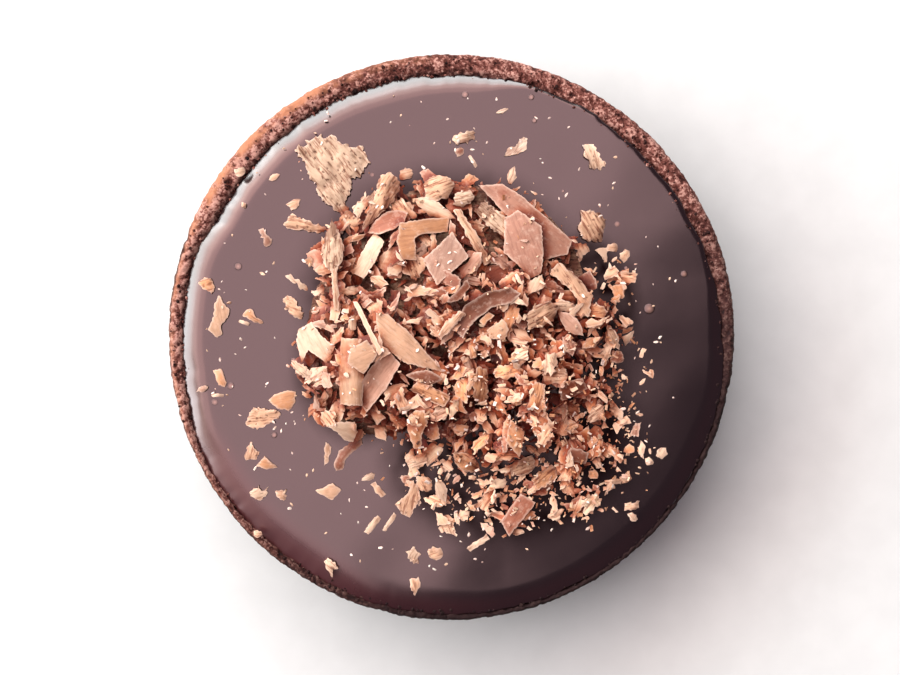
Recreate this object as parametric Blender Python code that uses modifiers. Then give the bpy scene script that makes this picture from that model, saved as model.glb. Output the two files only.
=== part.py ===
"""A single-serving chocolate tart, as separate solids: a cocoa pastry shell, a ganache filling
that bulges above its rim, a heap of grated chocolate and the larger shavings that lie beside it.

Metres, +Z up. The origin is the centre of the shell's underside, so the tart stands on Z = 0.
"""

import math

import bpy
from mathutils import Vector, noise

MM = 0.001

# Driving dimensions
TART_DIAMETER = 90 * MM
SHELL_HEIGHT = 20 * MM
WALL = 3.2 * MM
FLOOR = 3.0 * MM
GANACHE_HEIGHT = 20.4 * MM
GAP = 0.3 * MM  # clearance between pieces that touch

# Shell
OUTER_RADIUS = TART_DIAMETER / 2
BASE_SHRINK = 0.5 * MM  # the baked wall leans in this far at its foot
FOOT_ROUND = 1.2 * MM
CAVITY_ROUND = 2.0 * MM
CREST_ROUND = 1.1 * MM
INNER_LIP_DROP = 1.0 * MM  # the rim's inner lip lies this far below its crest
KNEAD_FROM, KNEAD_TO = 13 * MM, 18 * MM  # the wall is even below, and as wide as RIM_WIDTHS above
OUT_OF_ROUND = 0.12 * MM
RIM_WAVE = 0.16 * MM  # how far the rim rises and falls
RIM_WAVE_FROM, RIM_WAVE_TO = 34 * MM, 40 * MM  # radii between which that sets in
TURN_STEPS = 72
ARC_STEPS = 3

# Ganache
ROLL_WIDTH = 5.0 * MM  # how far in from its edge the surface starts to roll down
ROLL_DROP = 1.5 * MM
ROLL_STEPS = 7

# How wide a strip of the pastry rim the ganache leaves bare: degrees round from +X, then mm.
RIM_WIDTHS = (
    (0, 2.2), (15, 2.7), (30, 3.4), (60, 3.5), (90, 3.3), (120, 3.4), (151, 3.5), (165, 2.2),
    (187, 2.2), (203, 1.1), (222, 1.1), (236, 1.5), (255, 1.2), (290, 0.9), (325, 0.9), (345, 1.4),
)

# Heap of gratings: its outline in degrees round its middle, then mm from there.
HEAP_MIDDLE = Vector((0.6, -1.4)) * MM
HEAP_OUTLINE = (
    (0, 22.5), (20, 23.0), (41, 24.0), (60, 25.0), (90, 26.5), (120, 25.3), (140, 24.0),
    (180, 23.5), (210, 25.0), (225, 25.5), (240, 24.5), (270, 26.0), (300, 29.5), (315, 30.5),
    (330, 29.5), (345, 25.5),
)
HEAP_EDGE = 0.9 * MM  # thickness at the outline
HEAP_SPREAD = 1.6 * MM  # thickness of the thin layer between the mounds
# Mounds: middle x and y, reach in x and y, height, all in mm.
HEAP_MOUNDS = ((1.0, 7.5, 10.5, 9.0, 6.8), (-12.5, -6.0, 7.0, 7.0, 4.6), (11.0, -13.0, 9.0, 8.0, 1.4))
HEAP_RINGS = 12
HEAP_STEPS = 60
HEAP_LUMPS = ((5.2, 0.8), (2.4, 0.45))  # lump size, lump height, in mm
HEAP_LUMP_FULL = 4 * MM  # where the heap is this thick, its lumps have their full height
HEAP_TAPER = 0.22  # share of the reach over which the outline thins
OUTLINE_WANDER = 0.7 * MM

# Larger shavings lying by themselves on the ganache. Each is named for the side of the tart that it
# lies on: middle x and y, length, width, the far end's share of that width, thickness and bow, in mm,
# the direction of its length in degrees, its ridges along that length and its cells each way.
LOOSE_SHAVINGS = {
    "shaving_fan": ((-18.4, 24.9), 12.4, 10.6, 0.28, 1.0, 1.2, -81, 5, (9, 12)),
    "shaving_lump_east": ((22.1, 17.4), 7.2, 5.0, 0.80, 2.6, 0.8, -62, 3, (6, 6)),
    "shaving_blade_west": ((-37.0, 3.3), 7.2, 3.2, 0.45, 0.9, 0.7, -100, 1, (5, 3)),
    "shaving_curl_north_east": ((22.6, 28.4), 4.5, 2.6, 0.85, 1.0, 0.9, -75, 1, (5, 3)),
    "shaving_splinter_north": ((10.2, 29.9), 4.9, 2.2, 0.50, 0.9, 0.5, 40, 1, (5, 3)),
    "shaving_stick_north": ((1.8, 31.6), 4.0, 1.7, 0.90, 1.1, 0.3, 22, 1, (4, 3)),
    "shaving_boat_west": ((-23.7, 17.6), 6.6, 2.9, 0.45, 1.0, 0.7, -15, 1, (4, 4)),
    "shaving_chip_west": ((-25.3, 4.9), 4.3, 3.2, 0.80, 1.6, 0.5, -55, 2, (4, 4)),
    "shaving_plate_south_west": ((-26.5, -10.2), 4.5, 3.4, 0.75, 1.1, 0.5, 12, 1, (4, 3)),
    "shaving_scrap_south_west": ((-30.5, -13.2), 4.4, 2.6, 0.70, 1.2, 0.6, 35, 1, (4, 3)),
    "shaving_arrow_south": ((-19.4, -24.6), 4.5, 2.8, 0.25, 1.0, 0.4, 180, 1, (4, 3)),
}
RIDGE_HEIGHT = 0.28 * MM
RAGGED = 0.35 * MM  # how far a shaving's broken end wanders
LENGTHWISE_BOW = 0.7  # share of a shaving's bow that runs along it; the rest runs across


def ease(t):
    """0 to 1 with level ends."""
    t = min(max(t, 0.0), 1.0)
    return t * t * (3 - 2 * t)


def round_value(table, degrees):
    """The value of a (degrees, value) table at an angle, eased from one entry to the next."""
    degrees %= 360
    closed = [*table, (table[0][0] + 360, table[0][1])]
    for (from_angle, from_value), (to_angle, to_value) in zip(closed, closed[1:]):
        if degrees <= to_angle:
            share = ease((degrees - from_angle) / (to_angle - from_angle))
            return from_value + (to_value - from_value) * share
    return table[0][1]


def lumps(place, size):
    """Smooth noise from about -1 to 1 whose lumps are about this size."""
    return noise.noise(place / size)


def arc(centre, radius, from_degrees, to_degrees, steps=ARC_STEPS):
    """Points (r, z) along an arc of a turned profile."""
    angles = (from_degrees + (to_degrees - from_degrees) * i / steps for i in range(steps + 1))
    return [
        (centre[0] + radius * math.cos(math.radians(a)), centre[1] + radius * math.sin(math.radians(a)))
        for a in angles
    ]


def material(name, colour, roughness):
    """A Principled material with an sRGB colour given as three shares."""
    made = bpy.data.materials.new(name)
    made.use_nodes = True
    shader = made.node_tree.nodes["Principled BSDF"]
    linear = [((c + 0.055) / 1.055) ** 2.4 if c > 0.04045 else c / 12.92 for c in colour]
    shader.inputs["Base Color"].default_value = (*linear, 1)
    shader.inputs["Roughness"].default_value = roughness
    shader.inputs["Metallic"].default_value = 0
    made.diffuse_color = (*linear, 1)
    return made


def add_object(name, mesh, finish, collection):
    """Puts a mesh into the collection as a node of that name."""
    made = bpy.data.objects.new(name, mesh)
    mesh.materials.clear()
    mesh.materials.append(finish)
    collection.objects.link(made)
    return made


def turned_mesh(name, profile, steps):
    """A closed mesh turned round the Z axis from a profile that starts and ends on it."""
    line = bpy.data.meshes.new(name + "_profile")
    points = [(r, 0, z) for r, z in profile]
    line.from_pydata(points, [(i, i + 1) for i in range(len(points) - 1)], [])
    guide = bpy.data.objects.new(name + "_profile", line)
    bpy.context.scene.collection.objects.link(guide)
    screw = guide.modifiers.new("turn", "SCREW")
    screw.axis = "Z"
    screw.angle = math.tau
    screw.steps = screw.render_steps = steps
    screw.use_merge_vertices = True
    screw.merge_threshold = 0.01 * MM
    bpy.context.view_layer.update()
    evaluated = guide.evaluated_get(bpy.context.evaluated_depsgraph_get())
    mesh = bpy.data.meshes.new_from_object(evaluated)
    mesh.name = name
    bpy.data.objects.remove(guide)
    return mesh


def reshape(mesh, place):
    """Moves each vertex to place(its coordinate)."""
    for vertex in mesh.vertices:
        vertex.co = place(vertex.co.copy())
    mesh.update()


def shade_smooth(mesh, degrees=40):
    """Shades a mesh smooth, apart from edges sharper than this."""
    mesh.shade_smooth()
    mesh.set_sharp_from_angle(angle=math.radians(degrees))


def knead(place):
    """The uneven hand-lined rim: the wall keeps WALL below, and narrows or widens to RIM_WIDTHS at
    the top, where the ganache laps over it."""
    radius = math.hypot(place.x, place.y)
    if radius < WALL:
        return place
    angle = math.atan2(place.y, place.x)
    bare = round_value(RIM_WIDTHS, math.degrees(angle)) * MM
    height_share = ease((place.z - KNEAD_FROM) / (KNEAD_TO - KNEAD_FROM))
    wall_share = min(max((OUTER_RADIUS - radius) / WALL, 0.0), 1.0)
    inward_share = ease(radius / (OUTER_RADIUS - WALL) * 2 - 1)
    radius += (WALL - bare) * height_share * wall_share * inward_share
    radius += OUT_OF_ROUND * math.sin(3 * angle + 0.6) * height_share
    wave_share = ease((radius - RIM_WAVE_FROM) / (RIM_WAVE_TO - RIM_WAVE_FROM)) * height_share
    height = place.z + RIM_WAVE * math.sin(5 * angle + 1.1) * wave_share
    return Vector((radius * math.cos(angle), radius * math.sin(angle), height))


def pastry_shell(collection, finish):
    """The cup of baked cocoa pastry, with a rounded rim."""
    foot_radius = OUTER_RADIUS - BASE_SHRINK
    inner_radius = OUTER_RADIUS - WALL
    lip_round = WALL - CREST_ROUND
    wall_heights = [FLOOR + CAVITY_ROUND + (KNEAD_FROM - FLOOR - CAVITY_ROUND) * i / 2 for i in (1, 2)]
    wall_heights += [KNEAD_FROM + (KNEAD_TO - KNEAD_FROM) * i / 4 for i in (1, 2, 3, 4)]
    profile = [(0, FLOOR), (inner_radius / 2, FLOOR)]
    profile += arc((inner_radius - CAVITY_ROUND, FLOOR + CAVITY_ROUND), CAVITY_ROUND, -90, 0)
    profile += [(inner_radius, z) for z in wall_heights]
    lip = arc((0, 0), 1.0, 180, 90)
    lip_base = SHELL_HEIGHT - INNER_LIP_DROP
    profile += [(inner_radius + lip_round * (1 + x), lip_base + INNER_LIP_DROP * z) for x, z in lip]
    profile += arc((OUTER_RADIUS - CREST_ROUND, SHELL_HEIGHT - CREST_ROUND), CREST_ROUND, 90, 0)[1:]
    leaning = ((OUTER_RADIUS, KNEAD_TO), (OUTER_RADIUS, KNEAD_FROM), (foot_radius, FOOT_ROUND * 2))
    profile += leaning
    profile += arc((foot_radius - FOOT_ROUND, FOOT_ROUND), FOOT_ROUND, 0, -90)
    profile += [(foot_radius / 2, 0), (0, 0)]
    mesh = turned_mesh("pastry_shell", profile, TURN_STEPS)
    reshape(mesh, knead)
    shade_smooth(mesh)
    return add_object("pastry_shell", mesh, finish, collection)


def ganache(collection, finish):
    """The set filling, which fills the cup and stands above its rim with a rolled edge."""
    edge_radius = OUTER_RADIUS - WALL - GAP
    edge_height = GANACHE_HEIGHT - ROLL_DROP
    base = FLOOR + GAP
    profile = [(0, GANACHE_HEIGHT)]
    profile += [(r * MM, GANACHE_HEIGHT) for r in (12, 22, 30)]
    for i in range(ROLL_STEPS + 1):
        turn = math.radians(90 * i / ROLL_STEPS)
        inset = ROLL_WIDTH * (1 - math.sin(turn))
        profile.append((edge_radius - inset, GANACHE_HEIGHT - ROLL_DROP * (1 - math.cos(turn))))
    profile += [(edge_radius, edge_height - (edge_height - KNEAD_FROM) * i / 4) for i in (1, 2, 3, 4)]
    profile += [(edge_radius, z) for z in (10 * MM, base + CAVITY_ROUND)]
    profile += arc((edge_radius - CAVITY_ROUND, base + CAVITY_ROUND), CAVITY_ROUND, 0, -90)[1:]
    profile += [(edge_radius / 2, base), (0, base)]
    mesh = turned_mesh("ganache", profile, TURN_STEPS)
    reshape(mesh, knead)
    shade_smooth(mesh)
    return add_object("ganache", mesh, finish, collection)


def heap_height(place):
    """Thickness of the heap at a place, before its outline thins it."""
    height = HEAP_SPREAD
    for x, y, reach_x, reach_y, rise in HEAP_MOUNDS:
        spread = ((place.x / MM - x) / reach_x) ** 2 + ((place.y / MM - y) / reach_y) ** 2
        height += rise * MM * math.exp(-spread / 2)
    share = min(1.0, height / HEAP_LUMP_FULL)
    for size, rise in HEAP_LUMPS:
        height += rise * MM * lumps(Vector((place.x, place.y, 0)), size * MM) * share
    return max(height, HEAP_EDGE)


def shavings_heap(collection, finish):
    """The heap of gratings, as one solid out to its uneven outline."""
    base = GANACHE_HEIGHT + GAP
    rings = [i / HEAP_RINGS for i in range(HEAP_RINGS + 1)]
    profile = [(share * MM, 1) for share in rings] + [(1 * MM, 0), (0, 0)]
    mesh = turned_mesh("shavings_heap", profile, HEAP_STEPS)

    def place(point):
        """A point of the unit drum, moved to the heap's outline and height."""
        share = math.hypot(point.x, point.y) / MM
        angle = math.atan2(point.y, point.x)
        reach = round_value(HEAP_OUTLINE, math.degrees(angle)) * MM
        reach += OUTLINE_WANDER * lumps(Vector((math.cos(angle), math.sin(angle), 0)), 0.12)
        flat = HEAP_MIDDLE + Vector((math.cos(angle), math.sin(angle))) * reach * share
        if point.z < 0.5:
            return Vector((flat.x, flat.y, base))
        taper = ease((1 - share) / HEAP_TAPER)
        height = HEAP_EDGE + (heap_height(flat) - HEAP_EDGE) * taper
        return Vector((flat.x, flat.y, base + height))

    reshape(mesh, place)
    shade_smooth(mesh, 60)
    return add_object("shavings_heap", mesh, finish, collection)


def loose_shaving(name, values, collection, finish):
    """One curved shaving: a grid bent lengthwise and across, with its ridges and ragged ends,
    thickened, then turned and set down on the ganache."""
    middle, length, width, far_share, thickness, bow, heading, ridges, (across, along) = values
    bpy.ops.mesh.primitive_grid_add(x_subdivisions=across, y_subdivisions=along, size=2)
    made = bpy.context.object
    made.name = made.data.name = name
    for vertex in made.data.vertices:
        side, end = vertex.co.x, vertex.co.y
        narrowing = 1 + (far_share - 1) * ease((end + 1) / 2)
        wander = RAGGED * lumps(Vector((side * 3, end, middle[0])), 0.7) * abs(end) ** 3
        crest = RIDGE_HEIGHT / 2 * math.cos(math.pi * ridges * side) if ridges > 1 else 0.0
        arch = LENGTHWISE_BOW * (1 - end * end) + (1 - LENGTHWISE_BOW) * (1 - side * side)
        vertex.co = Vector((
            end * length / 2 * MM + wander,
            -side * width / 2 * MM * narrowing,
            arch * bow * MM + crest,
        ))
    made.data.flip_normals()
    shade_smooth(made.data, 50)
    made.data.materials.append(finish)
    solidify = made.modifiers.new("thickness", "SOLIDIFY")
    solidify.thickness = thickness * MM
    solidify.offset = 0
    bpy.context.view_layer.update()
    evaluated = made.evaluated_get(bpy.context.evaluated_depsgraph_get())
    lowest = min(vertex.co.z for vertex in evaluated.data.vertices)
    made.location = (middle[0] * MM, middle[1] * MM, GANACHE_HEIGHT + GAP - lowest)
    made.rotation_euler.z = math.radians(heading)
    for owner in list(made.users_collection):
        owner.objects.unlink(made)
    collection.objects.link(made)
    return made


def clear_scene():
    """Removes whatever the file opened with."""
    for existing in list(bpy.data.objects):
        bpy.data.objects.remove(existing)


def main():
    """Builds the tart."""
    clear_scene()
    collection = bpy.data.collections.new("chocolate_tart")
    bpy.context.scene.collection.children.link(collection)
    cocoa_pastry = material("cocoa_pastry", (0.40, 0.25, 0.22), 0.9)
    dark_ganache = material("dark_ganache", (0.24, 0.14, 0.15), 0.25)
    milk_chocolate = material("milk_chocolate", (0.82, 0.60, 0.47), 0.7)
    pastry_shell(collection, cocoa_pastry)
    ganache(collection, dark_ganache)
    shavings_heap(collection, milk_chocolate)
    for name, values in LOOSE_SHAVINGS.items():
        loose_shaving(name, values, collection, milk_chocolate)


main()
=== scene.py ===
"""The looks of a single-serving chocolate tart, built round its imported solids.

A sandy cocoa pastry case, a glossy ganache that rolls over at its edge, and a heap of shaved and
grated milk chocolate that was let fall on it from above. Lengths inside the classes are in
millimetres, and become metres where a mesh is made.
"""

import itertools
import logging
import math
from collections.abc import Callable, Sequence
from dataclasses import dataclass, field
from enum import Enum
from functools import partial
from typing import Any

import bpy
import numpy as np
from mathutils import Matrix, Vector, geometry


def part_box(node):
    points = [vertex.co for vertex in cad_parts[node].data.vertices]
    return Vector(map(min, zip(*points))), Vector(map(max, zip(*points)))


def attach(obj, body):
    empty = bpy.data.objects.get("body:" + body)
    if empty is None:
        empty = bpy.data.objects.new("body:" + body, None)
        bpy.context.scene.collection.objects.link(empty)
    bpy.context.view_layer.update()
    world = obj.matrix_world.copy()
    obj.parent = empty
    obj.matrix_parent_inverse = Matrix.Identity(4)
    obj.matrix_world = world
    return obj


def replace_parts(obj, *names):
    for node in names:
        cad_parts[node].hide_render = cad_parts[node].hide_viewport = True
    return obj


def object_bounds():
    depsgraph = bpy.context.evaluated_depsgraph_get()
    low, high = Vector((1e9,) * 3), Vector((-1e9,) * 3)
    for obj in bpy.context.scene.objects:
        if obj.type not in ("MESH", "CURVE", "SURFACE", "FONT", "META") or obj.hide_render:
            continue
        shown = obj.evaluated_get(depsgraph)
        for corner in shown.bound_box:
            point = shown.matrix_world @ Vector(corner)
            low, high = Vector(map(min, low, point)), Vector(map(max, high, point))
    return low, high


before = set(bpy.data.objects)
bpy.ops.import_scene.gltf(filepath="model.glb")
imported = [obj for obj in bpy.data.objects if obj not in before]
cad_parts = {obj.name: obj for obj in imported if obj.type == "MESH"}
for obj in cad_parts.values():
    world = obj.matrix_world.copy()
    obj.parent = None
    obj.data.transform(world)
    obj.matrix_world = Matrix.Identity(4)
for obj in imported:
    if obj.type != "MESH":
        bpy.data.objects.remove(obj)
CAD_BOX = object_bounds()

MM = 0.001
LOG = logging.getLogger("chocolate_tart")

Point = tuple[float, float]
Table = Sequence[tuple[float, float]]

# How wide a strip of the pastry rim the ganache leaves bare: degrees round from +X, then mm.
RIM_WIDTHS: Table = (
    (0, 2.2), (15, 2.7), (30, 3.4), (60, 3.5), (90, 3.3), (120, 3.4), (151, 3.5), (165, 2.2),
    (187, 2.2), (203, 1.1), (222, 1.1), (236, 1.5), (255, 1.2), (290, 0.9), (325, 0.9), (345, 1.4),
)


# ---------------------------------------------------------------- numbers


def ease(share: np.ndarray) -> np.ndarray:
    """0 to 1 with level ends."""
    share = np.clip(share, 0.0, 1.0)
    return share * share * (3.0 - 2.0 * share)


def round_values(table: Table, angles: np.ndarray) -> np.ndarray:
    """The values of a (degrees, value) table at some angles, eased from one entry to the next.

    Args:
        table: degrees and values, in rising order of degrees.
        angles: angles in radians.

    Returns:
        One value for each angle.
    """
    stops = np.array([*table, (table[0][0] + 360.0, table[0][1])])
    degrees = np.degrees(angles) % 360.0
    after = np.clip(np.searchsorted(stops[:, 0], degrees, side="right"), 1, len(stops) - 1)
    start, end = stops[after - 1], stops[after]
    share = ease((degrees - start[..., 0]) / (end[..., 0] - start[..., 0]))
    return start[..., 1] + (end[..., 1] - start[..., 1]) * share


def hashed(cells: np.ndarray, seed: int) -> np.ndarray:
    """A repeatable random value from 0 to 1 for each whole-number cell.

    Args:
        cells: whole-number cell coordinates, (..., 3).
        seed: picks one of many such fields.

    Returns:
        Values of shape (...).
    """
    mixed = (cells[..., 0] * 73856093) ^ (cells[..., 1] * 19349663) ^ (cells[..., 2] * 83492791)
    mixed = (mixed ^ (seed * 2654435761)) & 0xFFFFFFFF
    mixed = ((mixed ^ (mixed >> 15)) * 2246822519) & 0xFFFFFFFF
    mixed = ((mixed ^ (mixed >> 13)) * 3266489917) & 0xFFFFFFFF
    return ((mixed ^ (mixed >> 16)) & 0xFFFFFF) / 0xFFFFFF


def ripples(points: np.ndarray, size: float, seed: int) -> np.ndarray:
    """Smooth noise from -1 to 1 whose waves are about one size long.

    Args:
        points: coordinates, (n, 3).
        size: wave size, in the points' own unit.
        seed: picks one of many such fields.

    Returns:
        n values.
    """
    scaled = points / size
    base = np.floor(scaled).astype(np.int64)
    part = ease(scaled - base)
    total = np.zeros(len(points))
    for corner in itertools.product((0, 1), repeat=3):
        offset = np.array(corner)
        weight = np.prod(np.where(offset, part, 1.0 - part), axis=-1)
        total += weight * hashed(base + offset, seed)
    return total * 2.0 - 1.0


def grains(points: np.ndarray, size: float, seed: int) -> np.ndarray:
    """The relief of packed round grains: 1 on top of a grain and 0 between grains.

    Args:
        points: coordinates, (n, 3).
        size: grain size, in the points' own unit.
        seed: picks one of many such fields.

    Returns:
        n values.
    """
    scaled = points / size
    base = np.floor(scaled).astype(np.int64)
    nearest = np.full(len(points), np.inf)
    for offset in itertools.product((-1, 0, 1), repeat=3):
        cell = base + np.array(offset)
        centre = cell + np.stack([hashed(cell, seed + axis) for axis in range(3)], axis=-1)
        nearest = np.minimum(nearest, ((scaled - centre) ** 2).sum(axis=-1))
    return np.clip(1.0 - nearest / 0.7, 0.0, 1.0)


def turned(points: np.ndarray, degrees: float | np.ndarray) -> np.ndarray:
    """Points turned about +Z, x and y only, any further columns kept.

    Args:
        points: coordinates, (..., 2 or more).
        degrees: one angle, or one for each of the leading rows.

    Returns:
        The turned points.
    """
    angle = np.radians(degrees)
    cos, sin = np.cos(angle), np.sin(angle)
    x, y = points[..., 0], points[..., 1]
    made = points.astype(float).copy()
    made[..., 0] = x * cos - y * sin
    made[..., 1] = x * sin + y * cos
    return made


def linear(hex_colour: str) -> tuple[float, float, float]:
    """An sRGB hex colour such as #c08040 as linear red, green and blue."""
    shares = [int(hex_colour[i : i + 2], 16) / 255 for i in (1, 3, 5)]
    return tuple(((c + 0.055) / 1.055) ** 2.4 if c > 0.04045 else c / 12.92 for c in shares)


def opaque(hex_colour: str) -> tuple[float, float, float, float]:
    """An sRGB hex colour as linear red, green, blue and full cover."""
    return (*linear(hex_colour), 1.0)


# ---------------------------------------------------------------- finishes


def add_node(
    material: bpy.types.Material,
    kind: str,
    settings: dict[str | int, Any] | None = None,
    links: dict[str | int, bpy.types.NodeSocket] | None = None,
) -> bpy.types.Node:
    """Adds one shader node.

    Args:
        material: the material whose tree takes it.
        kind: the node's type, such as TexNoise.
        settings: input values by socket name or number, or properties by name. "stops" holds the
            (place, hex colour) pairs of a colour ramp.
        links: the output socket that feeds each input.

    Returns:
        The new node.
    """
    node = material.node_tree.nodes.new("ShaderNode" + kind)
    for key, value in (settings or {}).items():
        if key == "stops":
            elements = node.color_ramp.elements
            while len(elements) < len(value):
                elements.new(0.5)
            for element, (place, colour) in zip(elements, value):
                element.position = place
                element.color = opaque(colour)
        elif isinstance(key, int) or key in node.inputs:
            node.inputs[key].default_value = value
        else:
            setattr(node, key, value)
    feed(node, links or {})
    return node


def feed(node: bpy.types.Node, links: dict[str | int, bpy.types.NodeSocket]) -> None:
    """Feeds a node's inputs.

    Args:
        node: the node.
        links: the output socket that feeds each input.
    """
    for key, source in links.items():
        node.id_data.links.new(source, node.inputs[key])


def new_material(name: str) -> tuple[bpy.types.Material, bpy.types.Node]:
    """An empty node material and its Principled shader.

    Args:
        name: the material's name.

    Returns:
        The material and its shader node.
    """
    material = bpy.data.materials.new(name)
    material.use_nodes = True
    material.node_tree.nodes.clear()
    shader = add_node(material, "BsdfPrincipled")
    add_node(material, "OutputMaterial", links={"Surface": shader.outputs["BSDF"]})
    return material, shader


@dataclass(frozen=True)
class BakedCocoaPastry:
    """Baked cocoa shortcrust, made by rubbing it to crumbs and pressing them into a ring: dry, matt and
    sandy, dusty pink-brown with a few pale grains. The crumb's relief paints shade near-black into its pits
    and a highlight onto its grain tops. Painted shade darkens the side away from the windows, partly smeared
    ganache, and a painted highlight lights the outer crest on their side."""

    crevice: str = "#1b0807"
    crumb: str = "#502720"
    dusty: str = "#85554c"
    sugar: str = "#c99f92"
    rubbed: str = "#bb8263"
    burnt: str = "#1a0b0e"
    grain_mm: float = 0.27
    patch_mm: float = 2.0

    def build(self) -> bpy.types.Material:
        """The material."""
        material, shader = new_material("baked_cocoa_pastry")
        add = partial(add_node, material)
        shader.inputs["Roughness"].default_value = 0.86
        shader.inputs["Specular IOR Level"].default_value = 0.3
        place = add("TexCoord").outputs["Object"]
        relief, pale, dark = (
            add("Attribute", {"attribute_name": name}).outputs["Fac"]
            for name in ("relief", "rubbed", "burnt")
        )
        # Each grain of the crumb has a shade of its own.
        grain = add("TexVoronoi", {"Scale": 1 / (self.grain_mm * MM)}, {"Vector": place})
        own = add("SeparateColor", links={"Color": grain.outputs["Color"]}).outputs["Red"]
        patch = add(
            "TexNoise",
            {"Scale": 1 / (self.patch_mm * MM), "Detail": 5.0, "Roughness": 0.7},
            {"Vector": place},
        )
        # The crumb's relief darkens its pits and lightens its grain tops: painted shade and a painted
        # highlight over the grains' own tones.
        lifted = add("Math", {"operation": "MULTIPLY_ADD", 1: 0.45}, {0: own, 2: relief})
        shifted = add(
            "Math",
            {"operation": "MULTIPLY_ADD", 1: 1.1},
            {0: patch.outputs["Fac"], 2: lifted.outputs["Value"]},
        )
        share = add(
            "MapRange", {"From Min": 0.35, "From Max": 1.75}, {"Value": shifted.outputs["Value"]}
        )
        stops = ((0.34, self.crevice), (0.58, self.crumb), (0.78, self.dusty), (0.93, self.sugar))
        colour = add("ValToRGB", {"stops": stops}, {"Fac": share.outputs["Result"]})
        # A painted highlight: the outer crest turns orange-tan where the windows light it.
        rubbed = add(
            "Mix",
            {"data_type": "RGBA", 7: opaque(self.rubbed)},
            {0: pale, 6: colour.outputs["Color"]},
        )
        # Painted shade darkens the crust on the side away from the windows and along its inner lip, partly
        # smeared ganache; it also draws a dark line along the crest's outer edge, and below the lip it is
        # the wall's own darker crust.
        burnt = add(
            "Mix", {"data_type": "RGBA", 7: opaque(self.burnt)}, {0: dark, 6: rubbed.outputs[2]}
        )
        bump = add("Bump", {"Strength": 0.8, "Distance": 0.14 * MM}, {"Height": own})
        feed(shader, {"Base Color": burnt.outputs[2], "Normal": bump.outputs["Normal"]})
        return material


@dataclass(frozen=True)
class PouredGanache:
    """Dark ganache poured warm and left to set: almost black in itself, with a smooth fatty skin that
    mirrors soft light broadly and a little warm. Each bubble's dome has a pale glint painted on it, and
    painted shade dulls the skin's mirror between the shavings."""

    body: str = "#12090b"
    dust_and_shade_tint: str = "#1d0d0c"
    bubble_glint_colour: str = "#c79f90"
    thin: str = "#421c20"
    skin_tint: str = "#f9e4e8"
    bloom_tint: str = "#fdffff"
    roughness: float = 0.115
    # Matched to the set skin, whose cocoa butter mirrors more than the plain material would.
    ior: float = 1.7
    wave_mm: float = 7.0

    def build(self) -> bpy.types.Material:
        """The material."""
        material, shader = new_material("poured_ganache")
        add = partial(add_node, material)
        shader.inputs["IOR"].default_value = self.ior
        shader.inputs["Specular IOR Level"].default_value = 1.0
        place = add("TexCoord").outputs["Object"]
        air, thin, roll, dusted = (
            add("Attribute", {"attribute_name": name}).outputs["Fac"]
            for name in ("air", "thin", "roll", "dusted")
        )
        wave = add(
            "TexNoise", {"Scale": 1 / (self.wave_mm * MM), "Detail": 2.0}, {"Vector": place}
        ).outputs["Fac"]
        # Redder where the filling is thin over its edge.
        depth = add(
            "Mix", {"data_type": "RGBA", 6: opaque(self.body), 7: opaque(self.thin)}, {0: thin}
        )
        # A painted glint: each bubble's dome is painted pale where it catches the light.
        colour = add(
            "Mix", {"data_type": "RGBA", 7: opaque(self.bubble_glint_colour)}, {0: air, 6: depth.outputs[2]}
        )
        # The fat has bloomed on the roll, which mirrors less warmly and less sharply.
        tint = add(
            "Mix",
            {"data_type": "RGBA", 6: opaque(self.skin_tint), 7: opaque(self.bloom_tint)},
            {0: roll},
        )
        # Painted shade: between the shavings the skin's mirror is tinted dark, where the heap shades it.
        dulled = add(
            "Mix", {"data_type": "RGBA", 7: opaque(self.dust_and_shade_tint)}, {0: dusted, 6: tint.outputs[2]}
        )
        rough = add(
            "MapRange",
            {"To Min": self.roughness - 0.02, "To Max": self.roughness + 0.03},
            {"Value": wave},
        ).outputs["Result"]
        for edge, rise in ((roll, 0.1), (thin, 0.2)):
            softer = add("Math", {"operation": "MULTIPLY_ADD", 1: rise}, {0: edge, 2: rough})
            rough = softer.outputs["Value"]
        bump = add("Bump", {"Strength": 0.12, "Distance": 0.08 * MM}, {"Height": wave})
        feed(shader, {"Base Color": colour.outputs[2], "Specular Tint": dulled.outputs[2]})
        feed(shader, {"Roughness": rough, "Normal": bump.outputs["Normal"]})
        return material


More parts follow.
